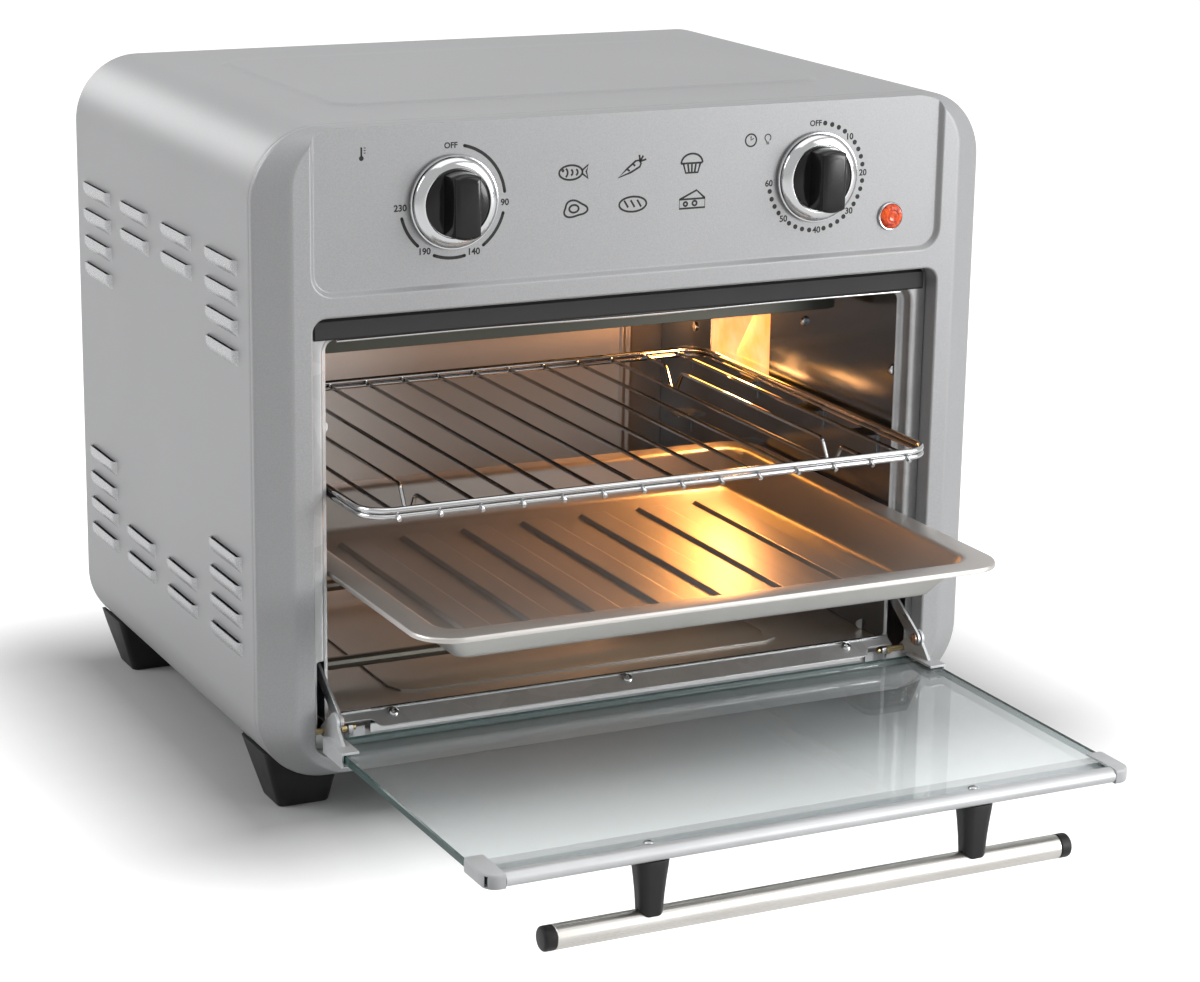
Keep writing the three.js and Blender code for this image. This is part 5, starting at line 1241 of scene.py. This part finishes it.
def make_cavity_flange():
    rings = [flange_ring(inset, back) for inset, back in FLANGE_EDGE]
    for grow, back in MOUTH_LINE:
        outline = rounded_outline(MOUTH_BOX, MOUTH_RADIUS + grow, MOUTH_CORNER_STEPS, grow)
        rings.append(along_axis(outline, "y", FLANGE_FRONT + back))
    rings.append(flange_ring(0, FLANGE_SHEET))
    slot = rounded_outline(HINGE_SLOT, HINGE_SLOT_RADIUS, HINGE_SLOT_STEPS)
    slots = [prism_mesh(mirrored(slot, side), "y", *HINGE_SLOT_REACH)
             for side, side_name in SIDES]
    piece("cavity_flange_pressing", carved_mesh(loft_mesh(rings, True), *slots),
          "galvanised_steel", "housing", "cavity_flange")
    lip_path = []
    for step in range(LIP_STEPS + 1):
        share = step / LIP_STEPS
        wave = LIP_WAVE * math.sin(LIP_WAVE_RATE * share) * math.sin(math.pi * share)
        lip_path.append(spot(LIP_HALF * (2 * share - 1), LIP_Y, LIP_Z + wave))
    piece("cavity_mouth_lip", tube_mesh(lip_path, LIP_RADIUS, LIP_SIDES), "chrome", "housing")


SILL_HALF = 157
SILL_FRONT = -1.9
SILL_BACK = 9.7
SILL_LOW = 45.6
SILL_HIGH = 51.2
SILL_SHEET = 0.6
SILL_NOTCH_X = 141
SILL_NOTCH_Y = 3.5
SILL_CORNER = 4
SILL_CORNER_STEPS = 6
SILL_NOTCH_CORNER = 2.8
SILL_SET_BACK = 1.2
SILL_EDGE = 0.12
SILL_NOSE = ((-1.6, -0.3), (-1.5, 0.35), (-1.0, 0.62), (-0.4, 0.62), (0, 0.4))
SILL_FOLDS = (
    ("fold", SILL_NOTCH_X, ((0, -11.9), (-1, -11.9), (-1, -1))),
    ("back_lip", SILL_HALF, ((0, -3.6), (-1, -3.6))),
)


def sill_level(y):
    return SILL_LOW + (SILL_HIGH - SILL_LOW) * (y - SILL_FRONT) / (SILL_BACK - SILL_FRONT)


def make_sill_plate():
    right = arc(SILL_NOTCH_X - SILL_CORNER, SILL_FRONT + SILL_CORNER, SILL_CORNER, 3, 4,
                SILL_CORNER_STEPS)
    right += arc(SILL_NOTCH_X + SILL_NOTCH_CORNER, SILL_NOTCH_Y - SILL_NOTCH_CORNER,
                 SILL_NOTCH_CORNER, 2, 1, SILL_CORNER_STEPS)
    right += [(SILL_HALF, SILL_NOTCH_Y), (SILL_HALF, SILL_BACK - SILL_SET_BACK)]
    plan = right + mirrored(reversed(right), -1)
    sheet = loft_mesh([[spot(x, y, sill_level(y) - drop) for x, y in plan]
                       for drop in (0, SILL_SHEET)])
    strip = piece("sill_plate_sheet", sheet, "galvanised_steel", "housing", "sill_plate")
    round_edges(strip, SILL_EDGE, BLOCK_ANGLE)
    for name, half, tail in SILL_FOLDS:
        line = [(SILL_BACK + y, SILL_HIGH + z) for y, z in SILL_NOSE + tail]
        piece(f"sill_plate_{name}", prism_mesh(line, "x", -half, half), "chrome", "housing")


# Fasteners: cross-recessed screws and the hinge rivets

SCREW_RADIUS = 2.9
SCREW_RISE = 1.5
SCREW_STEPS = 24
SCREW_LINE = ((1, -0.4), (1, 0.02), (0.97, 0.35), (0.88, 0.68), (0.7, 0.9), (0.42, 1))
SCREW_ARM = 1.508
SCREW_SLIT = 0.377
SCREW_SLIT_LEVELS = (0.675, 3)
LINER_SCREW_X = 160.95
LINER_SCREWS = ((20, 194.7), (243, 172.7), (114, 202), (87, 219), (42, 47.7))
SILL_SCREW_Y = 5.6
SILL_SCREWS = (-130, 0, 130)
BACK_SCREW_Y = 285.3
BACK_SCREWS = ((-185, 60), (-185, 190), (-120, 331), (0, 331), (120, 331), (185, 190),
               (185, 110), (-120, 28), (120, 28))
LINER_SCREW_TURN = 0.4
BACK_SCREW_TURN = 0.3
HANDLE_SCREW_TURN = 0.7
HANDLE_SCREW_Y = -188
HANDLE_SCREW_SIZE = 0.8
RIVET_X = 162.75
RIVET_Y = -8.5
RIVET_Z = 54
RIVET_LINE = ((2.9, -0.3), (2.9, 0.05), (2.697, 0.18), (2.175, 0.32), (1.16, 0.42), (0.29, 0.45))


def screw_mesh():
    """A pan head with a cross recess, its own Z out of the sheet."""
    head = loft_mesh([
        local_ring(circle_outline(0, 0, SCREW_RADIUS * share, SCREW_STEPS), SCREW_RISE * rise)
        for share, rise in SCREW_LINE])
    slits = []
    for half_u, half_v in ((SCREW_ARM, SCREW_SLIT), (SCREW_SLIT, SCREW_ARM)):
        outline = box_outline(-half_u, half_u, -half_v, half_v)
        slits.append(loft_mesh([local_ring(outline, level) for level in SCREW_SLIT_LEVELS]))
    return carved_mesh(head, *slits)


def make_screws():
    places = []
    for side, side_name in SIDES:
        for y, z in LINER_SCREWS:
            turn = (0, -side * QUARTER_TURN, LINER_SCREW_TURN * y)
            places.append((spot(side * LINER_SCREW_X, y, z), turn))
    slope = math.atan2(SILL_HIGH - SILL_LOW, SILL_BACK - SILL_FRONT)
    places += [(spot(x, SILL_SCREW_Y, sill_level(SILL_SCREW_Y)), (slope, 0, 0))
               for x in SILL_SCREWS]
    places += [(spot(x, BACK_SCREW_Y, z), (-QUARTER_TURN, BACK_SCREW_TURN * x, 0))
               for x, z in BACK_SCREWS]
    repeated("housing_screws", screw_mesh(), places, "chrome", "housing")
    places = [(spot(side * POST_X, HANDLE_SCREW_Y, GLASS_TOP), (0, 0, side * HANDLE_SCREW_TURN))
              for side, side_name in SIDES]
    repeated("handle_screws", screw_mesh(), places, "zinc", "door", size=HANDLE_SCREW_SIZE)
    for side, side_name in SIDES:
        rings = [along_axis(circle_outline(RIVET_Y, RIVET_Z, radius, SCREW_STEPS), "x",
                            side * (RIVET_X - rise)) for radius, rise in RIVET_LINE]
        piece(f"hinge_rivet_{side_name}", loft_mesh(rings), "copper", "door")


# Hinge springs: wound wire, one coil on each side, each with a mesh of its own

SPRING_X = 172.2
SPRING_Z = 82.3
SPRING_FRONT = 39.2
SPRING_BACK = 109
SPRING_RADIUS = 3.55
SPRING_WIRE = 0.5
SPRING_SIDES = 8
SPRING_TURNS = 20
SPRING_TURN_STEPS = 14


def make_hinge_springs():
    count = SPRING_TURNS * SPRING_TURN_STEPS
    for side, side_name in SIDES:
        winding = arc(side * SPRING_X, SPRING_Z, SPRING_RADIUS, 0, 4 * SPRING_TURNS, count)
        path = [spot(x, SPRING_FRONT + (SPRING_BACK - SPRING_FRONT) * step / count, z)
                for step, (x, z) in enumerate(winding)]
        coil = tube_mesh(path, SPRING_WIRE, SPRING_SIDES)
        spring = piece(f"hinge_spring_coil_{side_name}", coil, "zinc", "housing",
                       f"hinge_spring_{side_name}")
        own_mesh(spring)


# Power lamp: a jewelled lens in a thin bright rim

LENS_LINE = ((6.1, 0), (6.25, 0.5), (6.2, 1.6), (5.3, 2.7), (3.9, 3.15), (3.2, 2.85), (2.2, 3.2),
             (0.9, 3.0))
LENS_STEPS = 14
RIM_STEPS = 48
LENS_DENT = 0.93
LENS_DENT_FROM = 3
LENS_SHARP_ANGLE = 0.15
RIM_LINE = ((6.5, 0.05), (7.4, 0.05), (7.4, 0.7), (7.2, 1.2), (6.9, 1.5), (6.6, 1.45), (6.5, 1.2))


def make_power_lamp():
    rings = []
    for index, (radius, out) in enumerate(LENS_LINE):
        outline = []
        for step in range(LENS_STEPS * 2):
            angle = math.pi * (step + 0.5 * index) / LENS_STEPS
            dented = step % 2 and index >= LENS_DENT_FROM
            reach = radius * LENS_DENT if dented else radius
            outline.append((POWER_X + reach * math.cos(angle), POWER_Z + reach * math.sin(angle)))
        rings.append(along_axis(outline, "y", PANEL_FACE - out))
    piece("power_lamp_jewel", loft_mesh(rings), "lamp_red", "housing", "power_lamp_lens",
          angle=LENS_SHARP_ANGLE)
    rim = turned_mesh(RIM_LINE, RIM_STEPS, (POWER_X, PANEL_FACE, POWER_Z), True)
    piece("power_lamp_rim", rim, "chrome", "housing", "power_lamp_bezel")


# Print on the panel: the scales of both dials and plain symbols, as thin films of ink

PRINT_LOW = 0.02
PRINT_HIGH = -0.03
DIAL_RADIUS = 27.3
DOT_RADIUS = 1.25
DOT_STEPS = 20
ARC_WIDTH = 1.6
ARC_END_STEPS = 16
ARC_DEGREES_PER_STEP = 4
NUMBER_HEIGHT = 3.4
OFF_HEIGHT = 3
OFF_DEGREES = -2.5
LETTER_WEIGHT = 0.03
TIMER_DEGREES_PER_MARK = 8.88
TIMER_MARKS = 5
TIMER_NUMBERS = (10, 20, 30, 40, 50, 60)
TEMPERATURE_NUMBERS = ((94, 90), (155.5, 140), (212, 190), (267, 230))
TEMPERATURE_ARCS = ((12.5, 83), (105, 144), (167, 201), (222, 256))
SYMBOL_LINE = 1
SYMBOL_SIZE = 1.7


def dot_mesh(place, radius, steps):
    return prism_mesh(circle_outline(*place, radius, steps), "y",
                      PANEL_FACE + PRINT_LOW, PANEL_FACE + PRINT_HIGH)


def stroke_mesh(points, width=SYMBOL_LINE, closed=False):
    """A printed line through points on the panel."""
    count = len(points)
    rings = []
    for index, (x, z) in enumerate(points):
        before = points[(index - 1) % count] if closed else points[max(index - 1, 0)]
        after = points[(index + 1) % count] if closed else points[min(index + 1, count - 1)]
        run = Vector((after[0] - before[0], after[1] - before[1])).normalized() * width / 2
        rings.append([spot(x - run.y * side, PANEL_FACE + level, z + run.x * side)
                      for side, level in ((1, PRINT_LOW), (1, PRINT_HIGH),
                                          (-1, PRINT_HIGH), (-1, PRINT_LOW))])
    return loft_mesh(rings, closed)


def words_mesh(text, place, height):
    """A number, or OFF, centred on a point of the panel."""
    line = bpy.data.curves.new("number", "FONT")
    line.body = text
    line.size = 1
    line.extrude = 0.5
    line.offset = LETTER_WEIGHT
    line.resolution_u = 4
    source = object_of("number", line)
    graph = bpy.context.evaluated_depsgraph_get()
    mesh = bpy.data.meshes.new_from_object(source.evaluated_get(graph))
    bpy.data.objects.remove(source)
    us = [vertex.co.x for vertex in mesh.vertices]
    vs = [vertex.co.y for vertex in mesh.vertices]
    size = height / (max(vs) - min(vs))
    middle_u = (max(us) + min(us)) / 2
    middle_v = (max(vs) + min(vs)) / 2
    x, z = place
    level = PANEL_FACE + (PRINT_LOW + PRINT_HIGH) / 2
    for vertex in mesh.vertices:
        u, v, out = vertex.co
        vertex.co = spot(x + (u - middle_u) * size, level - out * (PRINT_LOW - PRINT_HIGH),
                         z + (v - middle_v) * size)
    turn_faces_out(mesh)
    return mesh


def on_dial(x, degrees):
    angle = math.radians(degrees)
    return x + DIAL_RADIUS * math.sin(angle), KNOB_Z + DIAL_RADIUS * math.cos(angle)


def dial_arc(x, start, end):
    steps = max(int((end - start) / ARC_DEGREES_PER_STEP), 3)
    return [on_dial(x, start + (end - start) * step / steps) for step in range(steps + 1)]


def ellipse(x, z, half_u, half_v, steps=28, start=0, end=360):
    """Points of an ellipse, or of a part of it between two angles in degrees."""
    turns = arc(0, 0, 1, start / 90, end / 90, steps)
    points = [(x + half_u * u, z + half_v * v) for u, v in turns]
    return points[:-1] if end - start == 360 else points


def dial_prints():
    prints = [words_mesh("OFF", on_dial(x, OFF_DEGREES), OFF_HEIGHT) for x in (-KNOB_X, KNOB_X)]
    prints += [words_mesh(str(number), on_dial(-KNOB_X, angle), NUMBER_HEIGHT)
               for angle, number in TEMPERATURE_NUMBERS]
    for start, end in TEMPERATURE_ARCS:
        prints.append(stroke_mesh(dial_arc(-KNOB_X, start, end), ARC_WIDTH))
        prints += [dot_mesh(on_dial(-KNOB_X, angle), ARC_WIDTH / 2, ARC_END_STEPS)
                   for angle in (start, end)]
    for number in TIMER_NUMBERS:
        last = number // 10 * TIMER_MARKS
        place = on_dial(KNOB_X, last * TIMER_DEGREES_PER_MARK)
        prints.append(words_mesh(str(number), place, NUMBER_HEIGHT))
        for mark in range(last - TIMER_MARKS + 1, last):
            place = on_dial(KNOB_X, mark * TIMER_DEGREES_PER_MARK)
            prints.append(dot_mesh(place, DOT_RADIUS, DOT_STEPS))
    return prints


# Symbols: the lines of each, as points, a width and whether they close


def clock_lines():
    hands = [(0, 2), (0, 0), (1.5, 0.9)]
    return [(ellipse(0, 0, 3.1, 3.1), 0.8, True), (hands, 0.6, False)]


def bulb_lines():
    glass = ellipse(0, 0, 1.7, 1.7, 20, -55, 235) + [(-0.7, -2.2)]
    thread = [([(-0.8, -drop), (0.8, -drop)], 0.5, False) for drop in (2.3, 3.1)]
    return [(glass, 0.55, False)] + thread


def thermometer_lines():
    marks = [([(1.2, rise), (2.2, rise)], 0.45, False) for rise in (-0.2, 1, 2.2)]
    return [([(0, -2), (0, 2.6)], 0.9, False)] + marks


def drawn(closed, *lines):
    return [(points, SYMBOL_LINE, closed) for points in lines]


def fish_lines():
    tail = [(2.6, 0.3), (4.8, 2.0), (4.1, 0), (4.8, -2.0), (2.6, -0.3)]
    scales = [ellipse(x, 0, 0.8, 0.9, 8, -70, 70) for x in (-1, 0.6)]
    gill = ellipse(-3.2, 0, 1.4, 1.5, 8, -55, 55)
    return (drawn(True, ellipse(-0.8, 0, 3.7, 2.1), ellipse(-3.3, 0.7, 0.2, 0.2, 8))
            + drawn(False, tail, gill, *scales))


def carrot_lines():
    root = [(-4.4, -2.6), (-1.6, -0.2), (1.2, 2.0), (2.3, 2.1), (2.9, 1.2), (2.5, 0.2),
            (-0.4, -1.3)]
    leaves = [[(2.6, 1.8), tip] for tip in ((2.3, 3.7), (3.6, 3.4), (4.6, 2.3))]
    ridges = [[(-1.5, -0.3), (-0.7, -0.9)], [(0.3, 1.2), (1.0, 0.5)]]
    return drawn(True, root) + drawn(False, *leaves, *ridges)


def cake_lines():
    cup = [(-2.8, -0.2), (-2.0, -3.0), (2.0, -3.0), (2.8, -0.2)]
    top = ellipse(0, -0.2, 3.5, 2.8, 16, 0, 180) + [(-3.5, -0.2), (3.5, -0.2)]
    folds = [[(1.3 * turn, -0.5), (0.95 * turn, -2.8)] for turn in (-1, 0, 1)]
    return drawn(False, cup, top, *folds)


def egg_lines():
    white = []
    for u, v in circle_outline(0, 0, 1, 36):
        wave = math.cos(3 * math.atan2(v, u) + 0.6)
        white.append(((3.6 + 0.5 * wave) * u, (2.3 + 0.35 * wave) * v))
    return drawn(True, white, ellipse(-0.3, 0.1, 1.5, 1.1, 20))


def roll_lines():
    cuts = [[(middle - 0.7, 1.2), (middle + 0.6, -0.9)] for middle in (-2.1, 0, 2.1)]
    return drawn(True, ellipse(0, 0, 4.4, 2.2, 32)) + drawn(False, *cuts)


def wedge_lines():
    holes = [ellipse(-2.2, -1.2, 0.6, 0.6, 14), ellipse(0.8, -1.1, 0.7, 0.7, 14)]
    top = [(-4.2, 0.2), (1.4, 2.7), (4.2, 0.2)]
    return drawn(True, box_outline(-4.2, 4.2, -2.5, 0.2), *holes) + drawn(False, top)


SYMBOLS = (
    (clock_lines, 61.8, 324.6, 1),
    (bulb_lines, 71.4, 325.4, 1),
    (thermometer_lines, -147, 330.2, 1),
    (fish_lines, -36.3, 314.3, SYMBOL_SIZE),
    (carrot_lines, -4.4, 314.6, SYMBOL_SIZE),
    (cake_lines, 28.8, 315.4, SYMBOL_SIZE),
    (egg_lines, -35.2, 296.2, SYMBOL_SIZE),
    (roll_lines, -3.6, 296.6, SYMBOL_SIZE),
    (wedge_lines, 29.4, 296.8, SYMBOL_SIZE),
)
THERMOMETER_BULB = (-147, 327.5)
THERMOMETER_BULB_RADIUS = 1.2


def symbol_prints():
    prints = [dot_mesh(THERMOMETER_BULB, THERMOMETER_BULB_RADIUS, DOT_STEPS)]
    for lines, x, z, size in SYMBOLS:
        for points, width, closed in lines():
            moved = [(x + u * size, z + v * size) for u, v in points]
            prints.append(stroke_mesh(moved, width, closed))
    return prints


def make_panel_print():
    piece("panel_print", joined_mesh(dial_prints() + symbol_prints()), "print_ink", "housing")


# Cavity back wall: one sheet with two upright folds

BACK_WALL_FACE = 286
BACK_WALL_HALF = 161.8
BACK_WALL_LEVELS = (43.8, 239.6)
BACK_WALL_SHEET = 0.8
BACK_WALL_SMOOTH_ANGLE = math.radians(60)
BACK_FOLD_X = 137
BACK_FOLD = ((-4.6, 0), (-4.0, -0.3), (-3.0, -1.1), (-1.6, -1.2), (-0.7, -0.4), (0.7, -0.4),
             (1.6, -1.2), (3.0, -1.1), (4.0, -0.3), (4.6, 0))


def make_cavity_back_wall():
    front = [(side * BACK_FOLD_X + x, BACK_WALL_FACE + y)
             for side, side_name in SIDES for x, y in BACK_FOLD]
    back_y = BACK_WALL_FACE + BACK_WALL_SHEET
    outline = [(-BACK_WALL_HALF, BACK_WALL_FACE), *front, (BACK_WALL_HALF, BACK_WALL_FACE),
               (BACK_WALL_HALF, back_y), (-BACK_WALL_HALF, back_y)]
    piece("cavity_back_wall_sheet", prism_mesh(outline, "z", *BACK_WALL_LEVELS), "liner_steel",
          "housing", "cavity_back_wall", angle=BACK_WALL_SMOOTH_ANGLE)


make_outer_cover()
make_front_frame()
make_knob("temperature", -KNOB_X)
make_knob("timer", KNOB_X)
make_wire_rack()
make_baking_tray()
make_door_glass()
make_door_trim()
make_handle()
make_feet()
make_cavity_flange()
make_sill_plate()
make_screws()
make_power_lamp()
make_panel_print()
make_cavity_back_wall()
make_hinge_springs()

# Floor, room and lamps

FLOOR_RADIUS = 9000
# The oven's footprint, round which the paper's glow paints a shadow.
PAINTED_SHADOW_FOOTPRINT = (("X", 0, 200), ("Y", 90, 140))
GLOSSY_SHARE = 0.72
ROOM_LIGHT = 0.19
# Glow by distance from the footprint: low near the oven, a painted shadow, and full further out.
PAPER_GLOW_AND_PAINTED_SHADOW = ((0, 0.01), (0.04, 0.28), (0.11, 0.85), (0.2, 1), (0.8, 1))
PAPER_GREYS = (grey(0.43), grey(0.44))
FLOOR_STEPS = 96


def seen_directly(tree):
    """1 for what the camera sees, also through glass, and a little less for mirrored rays."""
    rays = tree.nodes.new("ShaderNodeLightPath")
    glossy = worked_out(tree, "MULTIPLY", rays.outputs["Is Glossy Ray"], GLOSSY_SHARE)
    seen = worked_out(tree, "MAXIMUM", rays.outputs["Is Camera Ray"], glossy)
    return worked_out(tree, "MAXIMUM", seen, rays.outputs["Is Transmission Ray"])


def pale_away_from_oven(tree):
    """Paper glow with a painted shadow: darkest under the oven and white further out."""
    coordinates = tree.nodes.new("ShaderNodeTexCoord").outputs["Object"]
    parts = add_node(tree, "ShaderNodeSeparateXYZ", {"Vector": coordinates})
    squares = []
    for axis, middle, half in PAINTED_SHADOW_FOOTPRINT:
        offset = worked_out(tree, "SUBTRACT", parts.outputs[axis], middle * MM)
        outside = worked_out(tree, "SUBTRACT", worked_out(tree, "ABSOLUTE", offset), half * MM)
        kept = worked_out(tree, "MAXIMUM", outside, 0)
        squares.append(worked_out(tree, "MULTIPLY", kept, kept))
    distance = worked_out(tree, "SQRT", worked_out(tree, "ADD", *squares))
    return graded(tree, distance, *((reach, grey(level)) for reach, level in PAPER_GLOW_AND_PAINTED_SHADOW))


def floor_paper(tree):
    return {
        "Base Color": between(tree, noise(tree, 60, 3), *PAPER_GREYS),
        "Roughness": 0.9,
        "Specular IOR Level": 0.1,
        "Emission Color": (1, 1, 1, 1),
        # The glow, seen only directly, carries the painted shadow round the oven.
        "Emission Strength": worked_out(
            tree, "MULTIPLY", seen_directly(tree), pale_away_from_oven(tree)),
    }


def lay_floor():
    points = local_ring(circle_outline(0, 0, FLOOR_RADIUS, FLOOR_STEPS), 0)
    mesh = bpy.data.meshes.new("floor_paper")
    mesh.from_pydata(points, [], [list(range(len(points)))])
    floor = object_of("floor_paper", mesh, material_of("floor_paper", floor_paper))


def light_room():
    world = bpy.data.worlds.new("room")
    bpy.context.scene.world = world
    world.use_nodes = True
    tree = world.node_tree
    strength = add_node(tree, "ShaderNodeMapRange", {
        "Value": seen_directly(tree), "To Min": ROOM_LIGHT, "To Max": 1})
    set_inputs(tree, tree.nodes["Background"], {
        "Color": (1, 1, 1, 1), "Strength": strength.outputs["Result"]})


def soft_box(name, place, target, width, height, power, colour=(1, 1, 1)):
    data = bpy.data.lights.new(name, "AREA")
    data.shape = "RECTANGLE"
    data.size = width * MM
    data.size_y = height * MM
    data.energy = power
    data.color = colour
    lamp = bpy.data.objects.new(name, data)
    start = Vector(place) * MM
    facing = (Vector(target) * MM - start).to_track_quat("-Z", "Y").to_matrix().to_4x4()
    lamp.matrix_world = Matrix.Translation(start) @ facing
    lamp.visible_camera = False
    bpy.context.scene.collection.objects.link(lamp)
    return lamp


lay_floor()
light_room()
soft_box("top_box", (200, -300, 2200), (0, 0, 150), 2200, 1800, 15)
soft_box("right_box", (1500, -1250, 1000), (0, 0, 150), 1700, 1700, 21)
soft_box("low_right_box", (1500, -1700, 380), (0, 0, 200), 700, 700, 20)
soft_box("left_box", (-1700, 300, 1300), (0, 0, 250), 1000, 1000, 20)
soft_box("back_left_box", (-700, 2300, 1000), (0, 0, 300), 900, 900, 7)

OVEN_LAMP_PLACE = (158, 134.6, 182.6)
soft_box("oven_lamp", OVEN_LAMP_PLACE, (0, 20, 100), 64, 34, 0.11, (1.0, 0.38, 0.06))
soft_box("oven_lamp_bounce", OVEN_LAMP_PLACE, (-120, 190, 215), 64, 34, 0.5, (1.0, 0.42, 0.14))
floor_glow = soft_box(
    "oven_floor_glow", (10, 20, 96), (10, 20, 50), 180, 120, 0.05, (1.0, 0.66, 0.38))
floor_glow.visible_glossy = False
